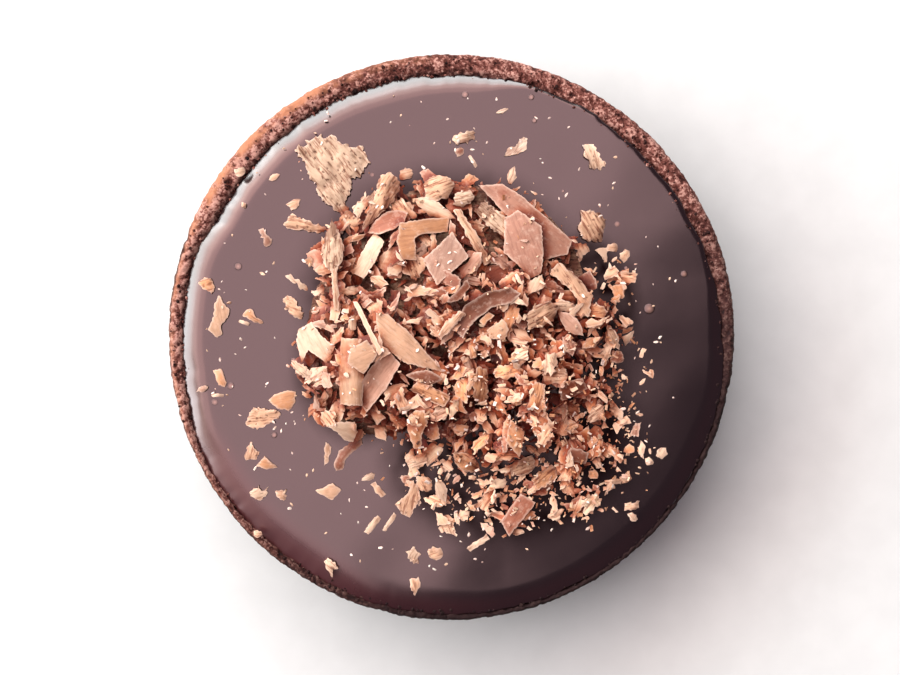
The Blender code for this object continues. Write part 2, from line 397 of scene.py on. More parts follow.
@dataclass(frozen=True)
class GratedMilkChocolate:
    """Milk chocolate shaved with a peeler and a grater: waxy pink-brown where the blade slid over it,
    and pale, dry and dusty where it broke."""

    dust_and_shade_tint: str = "#ead4c1"
    shade: str = "#94583d"
    pit: str = "#6b3a24"
    streak_mm: float = 0.34
    mottle_mm: float = 1.1
    pit_mm: float = 0.75

    def build(self) -> bpy.types.Material:
        """The material."""
        material, shader = new_material("grated_milk_chocolate")
        add = partial(add_node, material)
        shader.inputs["Specular IOR Level"].default_value = 0.45
        tone, raw, lie = (
            add("Attribute", {"attribute_name": name}).outputs[kind]
            for name, kind in (("tone", "Color"), ("raw", "Fac"), ("lie", "Vector"))
        )
        # Streaks run along each shaving, in its own coordinates, in millimetres.
        along = add("Mapping", {"Scale": (0.15, 1.0, 1.0)}, {"Vector": lie})
        streak = add(
            "TexNoise",
            {"Scale": 1 / self.streak_mm, "Detail": 3.0, "Roughness": 0.6},
            {"Vector": along.outputs["Vector"]},
        ).outputs["Fac"]
        mottle = add(
            "TexNoise",
            {"Scale": 1 / self.mottle_mm, "Detail": 4.0, "Roughness": 0.7},
            {"Vector": lie},
        )
        dusted = add(
            "MapRange",
            {"From Min": 0.52, "From Max": 0.75, "To Max": 0.4},
            {"Value": mottle.outputs["Fac"]},
        )
        pale = add(
            "Mix",
            {"data_type": "RGBA", 7: opaque(self.dust_and_shade_tint)},
            {0: dusted.outputs["Result"], 6: tone},
        )
        # Painted shade darkens the furrows and pits, and the more so where the face is torn.
        furrowed = add("MapRange", {"To Min": 0.1, "To Max": 0.75}, {"Value": raw})
        furrow_shade = add(
            "MapRange",
            {"From Min": 0.5, "From Max": 0.38},
            {"Value": streak, "To Max": furrowed.outputs["Result"]},
        )
        warped = add(
            "VectorMath",
            {"operation": "MULTIPLY_ADD", 1: (1.5, 1.5, 0.0)},
            {0: mottle.outputs["Color"], 2: lie},
        )
        stretched = add(
            "Mapping", {"Scale": (0.7, 1.0, 1.0)}, {"Vector": warped.outputs["Vector"]}
        )
        hole = add(
            "TexVoronoi", {"Scale": 1 / self.pit_mm}, {"Vector": stretched.outputs["Vector"]}
        )
        pitted = add(
            "MapRange", {"From Min": 0.45, "From Max": 1.0, "To Max": 0.75}, {"Value": raw}
        )
        holes = add(
            "MapRange",
            {"From Min": 0.28, "From Max": 0.17},
            {"Value": hole.outputs["Distance"], "To Max": pitted.outputs["Result"]},
        )
        colour = pale.outputs[2]
        for mask, dark in ((furrow_shade, self.shade), (holes, self.pit)):
            darker = add(
                "Mix",
                {"data_type": "RGBA", "blend_type": "MULTIPLY", 7: opaque(dark)},
                {0: mask.outputs["Result"], 6: colour},
            )
            colour = darker.outputs[2]
        rough = add("MapRange", {"To Min": 0.45, "To Max": 0.8}, {"Value": raw})
        depth = add("MapRange", {"To Min": 0.25, "To Max": 0.9}, {"Value": raw})
        bump = add(
            "Bump",
            {"Distance": 0.13 * MM},
            {"Height": streak, "Strength": depth.outputs["Result"]},
        )
        feed(shader, {"Base Color": colour, "Roughness": rough.outputs["Result"]})
        feed(shader, {"Normal": bump.outputs["Normal"]})
        return material


@dataclass(frozen=True)
class MattPaper:
    """Uncoated white paper: matt, with a faint cloudiness in its fibre."""

    sheet: str = "#e2f0f2"
    cloud: str = "#deecee"
    cloud_mm: float = 6.0

    def build(self) -> bpy.types.Material:
        """The material."""
        material, shader = new_material("matt_paper")
        shader.inputs["Roughness"].default_value = 0.95
        shader.inputs["Specular IOR Level"].default_value = 0.1
        add = partial(add_node, material)
        place = add("TexCoord").outputs["Object"]
        cloud = add(
            "TexNoise", {"Scale": 1 / (self.cloud_mm * MM), "Detail": 3.0}, {"Vector": place}
        )
        stops = ((0.35, self.cloud), (0.65, self.sheet))
        colour = add("ValToRGB", {"stops": stops}, {"Fac": cloud.outputs["Fac"]})
        feed(shader, {"Base Color": colour.outputs["Color"]})
        return material


# ---------------------------------------------------------------- meshes


@dataclass
class Body:
    """One closed body, in millimetres.

    Attributes:
        points: its vertices, (n, 3).
        faces: its triangles, (m, 3), facing out.
        lie: each vertex in the body's own coordinates, its length along x.
        rim: how near each vertex is to the body's broken edge, 0 to 1.
        relief: how far each vertex stands out of the body's own face, in mm.
    """

    points: np.ndarray
    faces: np.ndarray
    lie: np.ndarray
    rim: np.ndarray
    relief: np.ndarray


def add_values(mesh: bpy.types.Mesh, name: str, kind: str, values: np.ndarray) -> None:
    """Stores one value for each vertex of a mesh.

    Args:
        mesh: the mesh.
        name: the attribute's name.
        kind: FLOAT, FLOAT_VECTOR or FLOAT_COLOR.
        values: the values, one row for each vertex.
    """
    attribute = mesh.attributes.new(name, kind, "POINT")
    socket = {"FLOAT": "value", "FLOAT_VECTOR": "vector", "FLOAT_COLOR": "color"}[kind]
    attribute.data.foreach_set(socket, np.ascontiguousarray(values, dtype=np.float32).ravel())


def add_piece(
    name: str,
    points: np.ndarray,
    faces: list[list[int]],
    material: bpy.types.Material,
    sharp_degrees: float,
) -> bpy.types.Object:
    """Makes a piece that rides on the tart.

    Args:
        name: the piece's name.
        points: its vertices in millimetres, (n, 3).
        faces: its faces, as lists of vertex numbers.
        material: its finish.
        sharp_degrees: edges sharper than this stay sharp.

    Returns:
        The piece.
    """
    mesh = bpy.data.meshes.new(name)
    mesh.from_pydata((points * MM).tolist(), [], faces)
    mesh.validate()
    mesh.shade_smooth()
    mesh.set_sharp_from_angle(angle=math.radians(sharp_degrees))
    mesh.materials.append(material)
    piece = bpy.data.objects.new(name, mesh)
    bpy.context.scene.collection.objects.link(piece)
    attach(piece, "root")
    LOG.info("%s: %d faces", name, len(faces))
    return piece


def ring_faces(rings: int, steps: int) -> list[list[int]]:
    """Faces of a closed body made of rings, from its top centre out, down and back to its bottom
    centre. Vertex 0 is the top centre, and the last vertex is the bottom centre.

    Args:
        rings: how many rings lie between the two centres.
        steps: how many points each ring has.

    Returns:
        The faces, facing out.
    """
    here = np.arange(steps)
    ahead = (here + 1) % steps
    last = 1 + rings * steps
    top = np.stack([np.zeros(steps, dtype=int), 1 + here, 1 + ahead], axis=1).tolist()
    start = 1 + (rings - 1) * steps
    bottom = np.stack([np.full(steps, last), start + ahead, start + here], axis=1).tolist()
    walls = []
    for ring in range(rings - 1):
        inner = 1 + ring * steps
        outer = inner + steps
        walls += np.stack([inner + here, outer + here, outer + ahead, inner + ahead], axis=1).tolist()
    return top + walls + bottom


@dataclass
class Gathering:
    """Many small closed bodies that become one piece."""

    points: list[np.ndarray] = field(default_factory=list)
    faces: list[np.ndarray] = field(default_factory=list)
    lies: list[np.ndarray] = field(default_factory=list)
    tones: list[np.ndarray] = field(default_factory=list)
    raws: list[np.ndarray] = field(default_factory=list)
    count: int = 0

    def add(self, body: Body, tones: np.ndarray, raws: np.ndarray) -> None:
        """Adds a body.

        Args:
            body: the body, in its final place.
            tones: the linear colour of each vertex, (n, 3).
            raws: how broken each vertex's surface is, (n,).
        """
        self.points.append(body.points)
        self.faces.append(body.faces + self.count)
        self.lies.append(body.lie)
        self.tones.append(tones)
        self.raws.append(raws)
        self.count += len(body.points)

    def make(
        self, name: str, material: bpy.types.Material, landing: "Landing", sharp_degrees: float = 32.0
    ) -> bpy.types.Object:
        """Makes the piece, with shade painted darker and redder where it lies in a crevice.

        Args:
            name: the piece's name.
            material: its finish.
            landing: the finished heap's heights.
            sharp_degrees: edges sharper than this stay sharp.

        Returns:
            The piece.
        """
        faces = np.concatenate(self.faces).tolist()
        points = np.concatenate(self.points)
        piece = add_piece(name, points, faces, material, sharp_degrees)
        # Painted shade: darker and redder where the heap round it hides the sky.
        shelter = landing.shelter(points)[:, None]
        tones = np.concatenate(self.tones) * np.exp(-shelter * landing.crevice)
        tones = np.concatenate([tones, np.ones((len(tones), 1))], axis=1)
        add_values(piece.data, "tone", "FLOAT_COLOR", tones)
        add_values(piece.data, "raw", "FLOAT", np.concatenate(self.raws))
        add_values(piece.data, "lie", "FLOAT_VECTOR", np.concatenate(self.lies))
        return piece


# ---------------------------------------------------------------- pastry and ganache


@dataclass
class PastryCase:
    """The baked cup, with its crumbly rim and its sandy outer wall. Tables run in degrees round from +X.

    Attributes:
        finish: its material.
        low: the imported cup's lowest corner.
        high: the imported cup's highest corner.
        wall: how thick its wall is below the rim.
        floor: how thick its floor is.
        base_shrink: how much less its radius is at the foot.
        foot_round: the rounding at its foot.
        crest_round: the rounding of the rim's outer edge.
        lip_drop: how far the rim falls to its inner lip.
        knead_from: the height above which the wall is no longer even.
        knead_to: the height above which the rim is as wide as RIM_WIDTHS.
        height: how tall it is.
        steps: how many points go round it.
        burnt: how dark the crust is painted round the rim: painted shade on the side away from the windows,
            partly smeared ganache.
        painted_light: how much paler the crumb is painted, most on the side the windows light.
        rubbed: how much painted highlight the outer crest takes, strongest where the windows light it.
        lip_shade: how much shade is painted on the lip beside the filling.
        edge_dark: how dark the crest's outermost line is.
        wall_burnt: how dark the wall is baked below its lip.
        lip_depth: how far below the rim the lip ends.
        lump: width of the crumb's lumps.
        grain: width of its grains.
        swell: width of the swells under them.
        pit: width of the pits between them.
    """

    finish: bpy.types.Material
    low: np.ndarray = field(default_factory=lambda: np.array(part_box("pastry_shell")[0]) / MM)
    high: np.ndarray = field(default_factory=lambda: np.array(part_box("pastry_shell")[1]) / MM)
    wall: float = 3.2
    floor: float = 3.0
    base_shrink: float = 0.5
    foot_round: float = 1.2
    crest_round: float = 1.1
    lip_drop: float = 1.0
    knead_from: float = 13.0
    knead_to: float = 18.0
    height: float = 20.0
    steps: int = 1120
    burnt: Table = (
        (0, 0.85), (15, 0.6), (35, 0.12), (60, 0.0), (100, 0.1), (140, 0.05), (200, 0.05), (222, 0.4),
        (240, 0.8), (262, 0.97), (345, 0.97),
    )
    painted_light: Table = ((0, 0.1), (75, 0.05), (100, 0.0), (135, 0.2), (205, 0.22), (225, 0.05), (330, 0.0))
    rubbed: Table = (
        (0, 0.0), (88, 0.0), (104, 0.4), (116, 0.95), (150, 1.0), (165, 0.6), (200, 0.4), (222, 0.25),
        (240, 0.0),
    )
    lip_shade: Table = (
        (0, 0.35), (60, 0.3), (80, 0.6), (100, 0.6), (150, 0.75), (170, 0.6), (185, 0.4), (205, 0.3),
        (225, 0.0),
    )
    edge_dark: Table = ((0, 0.3), (35, 0.3), (60, 0.0), (152, 0.0), (162, 0.85), (190, 0.6), (240, 0.8))
    wall_burnt: float = 0.45
    lip_depth: float = 1.6
    lump: float = 1.25
    grain: float = 0.62
    swell: float = 2.6
    pit: float = 0.8

    @property
    def radius(self) -> float:
        """The cup's outer radius."""
        return round(self.high[0] + self.high[1] - self.low[0] - self.low[1], 0) / 4

    def profile(self) -> np.ndarray:
        """The cup's section, from the middle of its floor over the rim to the middle of its underside.

        Returns:
            Rows of radius, height, how much of the crumb's relief shows there, and how much of the crest's
            painted highlight it takes.
        """
        inner = self.radius - self.wall
        foot = self.radius - self.base_shrink
        lip_base = self.height - self.lip_drop
        lip_round = self.wall - self.crest_round
        rows = [(inner * 0.5, self.floor, 0.0), (inner - 0.6, self.floor, 0.0)]
        rows += [(inner, z, 0.0) for z in (self.floor + 0.6, 8.0, self.knead_from, 16.0)]
        rows += [(inner, z, 1.0) for z in (17.8, 18.4)]
        for turn in np.radians(np.linspace(180, 90, 12)):
            x = inner + lip_round * (1 + math.cos(turn))
            rows.append((x, lip_base + self.lip_drop * math.sin(turn), 1.0))
        for turn in np.radians(np.linspace(90, 0, 10))[1:]:
            x = self.radius - self.crest_round * (1 - math.cos(turn))
            z = self.height - self.crest_round * (1 - math.sin(turn))
            rows.append((x, z, 1.0 - 0.35 * math.cos(turn)))
        for z in np.arange(lip_base - 0.6, self.foot_round * 2, -0.42):
            lean = min(1.0, (self.knead_from - z) / (self.knead_from - self.foot_round * 2))
            rows.append((self.radius - self.base_shrink * max(0.0, lean), z, 0.55))
        for turn in np.radians(np.linspace(0, -90, 6)):
            x = foot - self.foot_round * (1 - math.cos(turn))
            rows.append((x, self.foot_round * (1 + math.sin(turn)), 0.4 * math.cos(turn)))
        rows += [(foot - 3.0, 0.0, 0.0), (foot * 0.5, 0.0, 0.0)]
        made = np.array(rows)
        # Where the outer crest can take the painted highlight.
        outside = np.clip((made[:, 0] - self.radius + 1.6) / 0.7, 0, 1)
        high = np.clip((made[:, 1] - lip_base + 1.5) / 1.0, 0, 1)
        return np.column_stack([made, outside * high])

    def build(self) -> bpy.types.Object:
        """The cup, with its crumb's relief in the mesh."""
        profile = self.profile()
        angles = np.linspace(0, math.tau, self.steps, endpoint=False)
        radius, angle = np.meshgrid(profile[:, 0], angles, indexing="ij")
        height = np.repeat(profile[:, 1:2], self.steps, axis=1)
        shown = np.repeat(profile[:, 2:3], self.steps, axis=1)
        radius, height = knead(radius, angle, height, self)
        lean = np.gradient(profile[:, :2], axis=0)
        normal = np.stack([lean[:, 1], -lean[:, 0]], axis=1) * -1
        normal /= np.maximum(np.linalg.norm(normal, axis=1, keepdims=True), 1e-6)
        place = np.stack([radius * np.cos(angle), radius * np.sin(angle), height], axis=-1).reshape(-1, 3)
        coarse = grains(place, self.lump, 11)
        fine = grains(place, self.grain, 17)
        swell = ripples(place, self.swell, 23)
        pit = np.clip(ripples(place, self.pit, 29) - 0.35, 0, 1)
        relief = 0.30 * (coarse - 0.55) + 0.20 * (fine - 0.5) + 0.16 * swell - 0.45 * pit
        relief = relief.reshape(radius.shape) * shown
        radius = radius + relief * normal[:, :1] - 0.12 * shown
        height = height + relief * normal[:, 1:]
        rings = np.stack([radius * np.cos(angle), radius * np.sin(angle), height], axis=-1).reshape(-1, 3)
        points = np.concatenate([[[0, 0, self.floor]], rings, [[0, 0, 0]]])
        faces = ring_faces(len(profile), self.steps)
        piece = add_piece("pastry_case", points, faces, self.finish, 180.0)
        # Its colour follows the crumb's relief: painted shade in the pits, a painted highlight on the grain
        # tops.
        self.bake(piece.data, profile, place, 0.25 + 0.35 * fine + 0.2 * coarse - 0.7 * pit)
        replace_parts(piece, "pastry_shell")
        return piece

    def bake(self, mesh: bpy.types.Mesh, profile: np.ndarray, place: np.ndarray, crumb: np.ndarray) -> None:
        """Gives the cup's mesh the values that its finish reads.

        Args:
            mesh: the mesh, with a point before and a point after those of the rings.
            profile: the cup's section.
            place: the rings' points before the crumb's relief, (n, 3).
            crumb: how high in the crumb each of them lies.
        """
        angles = np.linspace(0, math.tau, self.steps, endpoint=False)
        # Below its lip the wall is plain: a little darker, with none of the rim's painted light and little
        # of its painted highlight, and evenly baked in place of the rim's painted shade.
        down = np.clip((self.height - self.lip_depth - place[:, 2]) / self.lip_depth, 0, 1)
        painted_light = np.tile(round_values(self.painted_light, angles), len(profile))
        crumb = crumb + (painted_light * (1 - down) - 0.12 * down)
        add_values(mesh, "relief", "FLOAT", np.concatenate([[0.4], crumb, [0.4]]))
        # A painted highlight on the outer crest where the windows light it, in patches, fading out below the
        # top.
        patch = 0.8 + 0.7 * ripples(place, 2.2, 31) + 0.5 * ripples(place, 0.8, 37)
        rubbed = (profile[:, 3:4] * round_values(self.rubbed, angles)[None]).ravel() * np.clip(patch, 0, 1)
        highlight_fade = np.clip((place[:, 2] - self.height + 1.7 + 0.7 * ripples(place, 1.3, 41)) / 0.6, 0, 1)
        add_values(mesh, "rubbed", "FLOAT", np.concatenate([[0.0], rubbed * highlight_fade, [0.0]]))
        turn, reach = np.arctan2(place[:, 1], place[:, 0]), np.hypot(place[:, 0], place[:, 1])
        past_fill = reach - self.radius + round_values(RIM_WIDTHS, turn) + 0.35 * ripples(place, 1.1, 43)
        # Painted shade round the rim, darkest on the side away from the windows, and partly smeared ganache.
        burnt = np.tile(round_values(self.burnt, angles), len(profile))
        # Painted shade on the inner lip beside the filling, and a dark line along the crest's outer edge.
        burnt = np.maximum(burnt, np.clip(1.35 - past_fill / 0.9, 0, 1) * round_values(self.lip_shade, turn))
        outermost = np.clip((reach - self.radius + 0.45) / 0.2, 0, 1) * round_values(self.edge_dark, turn)
        burnt = np.maximum(burnt, outermost * (place[:, 2] > self.height - self.crest_round - 0.5))
        burnt = burnt * (1 - down) + self.wall_burnt * down
        add_values(mesh, "burnt", "FLOAT", np.concatenate([[0.0], burnt, [0.0]]))


@dataclass
class RimCrumbs:
    """Loose crumbs of pastry along the rim and on the filling's edge."""

    finish: bpy.types.Material
    case: PastryCase
    surface: Callable[[np.ndarray, np.ndarray], np.ndarray]
    count: int = 1500
    smallest: float = 0.22
    largest: float = 0.75

    def build(self, rng: np.random.Generator) -> bpy.types.Object:
        """The crumbs, as small broken blocks.

        Args:
            rng: the source of chance.

        Returns:
            The piece.
        """
        solid, faces = broken_lumps(self.count)
        angle = rng.random(self.count) * math.tau
        # Most lie where the pastry meets the filling.
        bare = round_values(RIM_WIDTHS, angle)
        inward = np.where(rng.random(self.count) < 0.6, bare + rng.normal(-0.1, 0.3, self.count),
                          bare * rng.uniform(0.25, 1.0, self.count))
        radius = self.case.radius - np.clip(inward, 0.45, 9.0)
        x, y = radius * np.cos(angle), radius * np.sin(angle)
        lip = np.clip((bare - inward) / 1.2, 0, 1)
        ground = np.where(inward > bare, self.surface(x, y), self.case.height - 0.8 * (1 - lip))
        size = self.smallest + (self.largest - self.smallest) * rng.random(self.count) ** 2
        shape = solid * (size[:, None, None] / 2) * rng.uniform(0.6, 1.2, solid.shape)
        shape = turned(shape, rng.uniform(0, 360, self.count)[:, None])
        points = shape + np.stack([x, y, ground + 0.1 * size], axis=1)[:, None]
        piece = add_piece("rim_crumbs", points.reshape(-1, 3), faces, self.finish, 25.0)
        # The crumbs take the rim's painted shade, darkest on the side away from the windows.
        burnt = round_values(self.case.burnt, angle)
        add_values(piece.data, "relief", "FLOAT", np.repeat(rng.uniform(0.0, 0.75, self.count), 12))
        add_values(piece.data, "rubbed", "FLOAT", np.zeros(self.count * 12))
        add_values(piece.data, "burnt", "FLOAT", np.repeat(burnt, 12))
        return piece


def broken_blocks(count: int) -> tuple[np.ndarray, list[list[int]]]:
    """Corners and triangles of blocks, to be broken up by moving their corners.

    Args:
        count: how many blocks.

    Returns:
        The corners, (count, 8, 3), each from -1 to 1, and the triangles of them all, facing out.
    """
    cube = np.array(list(itertools.product((-1, 1), repeat=3)), dtype=float)
    sides = ((0, 1, 3, 2), (4, 6, 7, 5), (0, 4, 5, 1), (2, 3, 7, 6), (0, 2, 6, 4), (1, 5, 7, 3))
    faces = np.array([half for a, b, c, d in sides for half in ((a, b, c), (a, c, d))])
    numbered = faces[None] + 8 * np.arange(count)[:, None, None]
    return np.repeat(cube[None], count, axis=0), numbered.reshape(-1, 3).tolist()


def broken_lumps(count: int) -> tuple[np.ndarray, list[list[int]]]:
    """Corners and triangles of rounder lumps, to be broken up by moving their corners.

    Args:
        count: how many lumps.

    Returns:
        The corners, (count, 12, 3), a unit from the middle, and the triangles of them all, facing out.
    """
    tall = 1 / math.sqrt(5)
    turns = np.radians(np.arange(5) * 72)
    ring = 2 * tall * np.column_stack([np.cos(turns), np.sin(turns)])
    half = 2 * tall * np.column_stack([np.cos(turns + math.pi / 5), np.sin(turns + math.pi / 5)])
    upper, lower = np.column_stack([ring, np.full(5, tall)]), np.column_stack([half, np.full(5, -tall)])
    corners = np.concatenate([[[0, 0, 1]], upper, lower, [[0, 0, -1]]])
    faces = []
    for i in range(5):
        a, b, c, d = 1 + i, 1 + (i + 1) % 5, 6 + i, 6 + (i + 1) % 5
        faces += [(0, a, b), (a, c, b), (b, c, d), (11, d, c)]
    numbered = np.array(faces)[None] + 12 * np.arange(count)[:, None, None]
    return np.repeat(corners[None], count, axis=0), numbered.reshape(-1, 3).tolist()


def knead(
    radius: np.ndarray, angle: np.ndarray, height: np.ndarray, case: PastryCase
) -> tuple[np.ndarray, np.ndarray]:
    """The uneven hand-lined rim: the wall is even below, and as wide as RIM_WIDTHS at the top.

    Args:
        radius: radii of the even cup.
        angle: angles in radians.
        height: heights.
        case: the cup's sizes.

    Returns:
        The new radii and heights.
    """
    bare = round_values(RIM_WIDTHS, angle)
    height_share = ease((height - case.knead_from) / (case.knead_to - case.knead_from))
    wall_share = np.clip((case.radius - radius) / case.wall, 0, 1)
    inward_share = ease(radius / (case.radius - case.wall) * 2 - 1)
    radius = radius + (case.wall - bare) * height_share * wall_share * inward_share
    radius = radius + 0.12 * np.sin(3 * angle + 0.6) * height_share
    wave_share = ease((radius - 34.0) / 6.0) * height_share
    height = height + 0.16 * np.sin(5 * angle + 1.1) * wave_share
    return radius, height


@dataclass
class GanacheFill:
    """The poured filling, level in the middle and rolled over at its edge. Tables run in degrees round
    from +X.

    Attributes:
        finish: its material.
        case: the cup it fills.
        level: the height of its surface.
        base: the height of its underside.
        tuck: how far its edge laps over the pastry's lip.
        steps: how many points go round it.
        roll_widths: how wide its rolled edge is.
        roll_drops: how far the rolled edge drops.
        roll_power: how late the rolled edge drops.
        edge_bloom: how far the fat has bloomed there.
        edge_thin: how thin and red its edge looks.
        bubbles: bubbles that show as pale dots: middle x and y, then width.
        bubble_count: how many bubbles there are with chance ones.
        bubble_reach: how far out the chance ones lie.
        bubble_widths: the least and most width of the chance ones.
        dome_share: how many times wider than its dot a bubble's dome is.
        dome_rise: how high a dome is for its width.
        dome_glint: how strong the painted glint is at the middle of a dome.
    """

    finish: bpy.types.Material
    case: PastryCase
    level: float = field(default_factory=lambda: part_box("ganache")[1][2] / MM)
    base: float = field(default_factory=lambda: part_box("ganache")[0][2] / MM)
    tuck: float = 0.25
    steps: int = 880
    roll_widths: Table = (
        (0, 2.4), (20, 0.8), (70, 0.8), (88, 4.4), (105, 5.0), (190, 5.0), (212, 6.4), (238, 6.2),
        (256, 4.8), (285, 3.6), (330, 3.6),
    )
    roll_drops: Table = (
        (0, 0.6), (20, 0.3), (70, 0.3), (88, 1.3), (105, 1.5), (195, 1.5), (212, 1.5), (238, 1.4),
        (256, 0.9), (285, 0.7), (330, 0.7),
    )
    roll_power: float = 2.2
    edge_bloom: Table = ((0, 0.3), (80, 0.8), (100, 1.0), (172, 1.0), (195, 0.4), (215, 0.0), (330, 0.0))
    edge_thin: Table = (
        (0, 0.1), (60, 0.1), (195, 0.2), (212, 1.0), (240, 1.0), (262, 0.45), (285, 0.2), (320, 0.1),
    )
    bubbles: tuple[tuple[float, float, float], ...] = (
        (-9.3, 33.9, 0.9), (-6.6, 33.4, 0.7), (-14.0, 35.9, 0.8), (-33.7, 11.1, 1.0), (-32.5, 19.0, 0.9),
        (2.2, 38.3, 0.9), (12.7, 37.9, 0.8), (13.2, 34.2, 0.7), (26.3, 17.8, 1.1), (36.9, 9.9, 0.9),
        (31.4, 4.4, 1.4), (-34.9, -7.8, 1.0), (-37.4, -10.4, 0.9), (-28.0, -15.6, 0.8), (-33.2, -24.6, 0.9),
        (-12.1, -27.0, 1.0), (-23.2, -29.0, 0.8), (-15.1, -37.4, 1.2),
    )
    bubble_count: int = 64
    bubble_reach: float = 38.5
    bubble_widths: Point = (0.35, 0.8)
    dome_share: float = 1.25
    dome_rise: float = 0.012
    dome_glint: float = 0.6

    @property
    def edge(self) -> float:
        """The even radius of its edge, which laps just over the pastry's lip."""
        return self.case.radius - self.case.wall + self.tuck

    def top(self, x: np.ndarray, y: np.ndarray) -> np.ndarray:
        """Height of the tart's upper surface.

        Args:
            x: places, in mm.
            y: places, in mm.

        Returns:
            The ganache's height, or the rim's beyond the ganache.
        """
        radius, angle = np.hypot(x, y), np.arctan2(y, x)
        bare = round_values(RIM_WIDTHS, angle)
        roll_width = round_values(self.roll_widths, angle)
        inset = np.clip(1 - (self.case.radius - bare - radius) / roll_width, 0, 1)
        rolled = self.level - round_values(self.roll_drops, angle) * inset**self.roll_power
        return np.where(radius > self.case.radius - bare, self.case.height, rolled)

    def build(self) -> bpy.types.Object:
        """The filling's mesh."""
        widest = max(width for _, width in self.roll_widths)
        rows = [(r, self.level, 0.0) for r in np.arange(1.2, self.edge - widest, 1.2)]
        rows += [(self.edge - widest * (1 - share), self.level, 1.0) for share in np.linspace(0, 1, 40)]
        low = self.level - max(drop for _, drop in self.roll_drops)
        rows += [(self.edge, z, 1.0) for z in (low - 0.5, low - 1.0)]
        rows += [(self.edge - 0.5, z, 0.0) for z in (16.0, self.case.knead_from, 8.0, self.base + 0.4)]
        rows += [(self.edge - 1.2, self.base, 0.0), (self.edge * 0.5, self.base, 0.0)]
        profile = np.array(rows)
        angles = np.linspace(0, math.tau, self.steps, endpoint=False)
        radius, angle = np.meshgrid(profile[:, 0], angles, indexing="ij")
        height = np.repeat(profile[:, 1:2], self.steps, axis=1)
        inset = np.clip(1 - (self.edge - radius) / round_values(self.roll_widths, angle), 0, 1)
        drop = round_values(self.roll_drops, angle) * inset**self.roll_power
        height = np.where(height > low, self.level - drop, height)
        rolled = np.where(profile[:, 2:3] > 0, np.clip(1 - (self.edge - radius) / widest, 0, 1), 0.0)
        radius, _ = knead(radius, angle, np.full_like(height, self.level), self.case)
        round_trip = np.stack([np.cos(angle) * self.edge, np.sin(angle) * self.edge, height * 0], axis=-1)
        flat = round_trip.reshape(-1, 3)
        wobble = 0.22 * ripples(flat, 2.4, 5) + 0.12 * ripples(flat, 1.1, 6) + 0.2 * ripples(flat, 7.0, 7)
        radius = radius + wobble.reshape(radius.shape) * rolled**3
        place = np.stack([radius * np.cos(angle), radius * np.sin(angle), height], axis=-1).reshape(-1, 3)
        upper = (profile[:, 1] > low - 2).repeat(self.steps)
        place[:, 2] += 0.05 * ripples(place * (1, 1, 0), 9.0, 8) * upper
        points = np.concatenate([[[0, 0, self.level]], place, [[0, 0, self.base]]])
        faces = ring_faces(len(profile), self.steps)
        piece = add_piece("ganache_fill", points, faces, self.finish, 180.0)
        add_values(piece.data, "air", "FLOAT", np.zeros(len(points)))
        roll = ease((inset - 0.3) * 1.7) * round_values(self.edge_bloom, angle)
        thin = ease(inset * 1.4) * round_values(self.edge_thin, angle)
        add_values(piece.data, "roll", "FLOAT", np.concatenate([[0.0], roll.ravel(), [0.0]]))
        add_values(piece.data, "thin", "FLOAT", np.concatenate([[0.0], thin.ravel(), [0.0]]))
        # Painted shade dulls the skin's mirror under the drifts, where the shavings shade it.
        dusted = np.max([drift.cover(points) for drift in FILLING], axis=0)
        patchy = np.clip(0.85 + 0.3 * ripples(points, 1.5, 71), 0, 1)
        add_values(piece.data, "dusted", "FLOAT", dusted * patchy)
        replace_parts(piece, "ganache")
        return piece

    def build_bubbles(self, rng: np.random.Generator) -> bpy.types.Object:
        """The low domes that small bubbles raise in the skin, each with a pale glint painted on it.

        Args:
            rng: the source of chance.

        Returns:
            The piece.
        """
        spots = list(self.bubbles)
        while len(spots) < self.bubble_count:
            reach, turn = self.bubble_reach * math.sqrt(rng.random()), rng.random() * math.tau
            width = rng.uniform(*self.bubble_widths)
            spots.append((reach * math.cos(turn), reach * math.sin(turn), width))
        around, rings = 14, (0.3, 0.6, 0.85, 1.0)
        turns = np.linspace(0, math.tau, around, endpoint=False)
        points, faces, air = [], [], []
        for x, y, dot in spots:
            width = dot * self.dome_share
            faces += [[corner + len(points) for corner in face] for face in ring_faces(len(rings), around)]
            crown = float(self.top(np.array(x), np.array(y))) + self.dome_rise * width
            points.append((x, y, crown))
            # A pale glint is painted on the dome, strongest at its middle.
            air.append(self.dome_glint)
            for share in rings:
                px = x + np.cos(turns) * share * width / 2
                py = y + np.sin(turns) * share * width / 2
                rise = self.dome_rise * width * (1 - share**2) - (0.01 if share == 1.0 else 0.0)
                points += list(zip(px, py, self.top(px, py) + rise))
                air += [self.dome_glint * (1 - share) ** 1.1] * around
            points.append((x, y, crown - 0.3))
            air.append(0.0)
        piece = add_piece("ganache_bubbles", np.array(points), faces, self.finish, 180.0)
        add_values(piece.data, "air", "FLOAT", np.array(air))
        for name in ("roll", "thin", "dusted"):
            add_values(piece.data, name, "FLOAT", np.zeros(len(air)))
        return piece


# ---------------------------------------------------------------- chocolate


class Tone(Enum):
    """Colours of milk chocolate, from its palest broken face to its darkest cut one."""

    CREAM = "#d3ba9f"
    TAN = "#cea98a"
    ORANGE = "#c7946c"
    PINK = "#ba937e"
    BROWN = "#a67a66"
    RED = "#8a5742"
    MILK = "#f4e4d9"

    @property
    def colour(self) -> np.ndarray:
        """Its linear colour."""
        return np.array(linear(self.value))


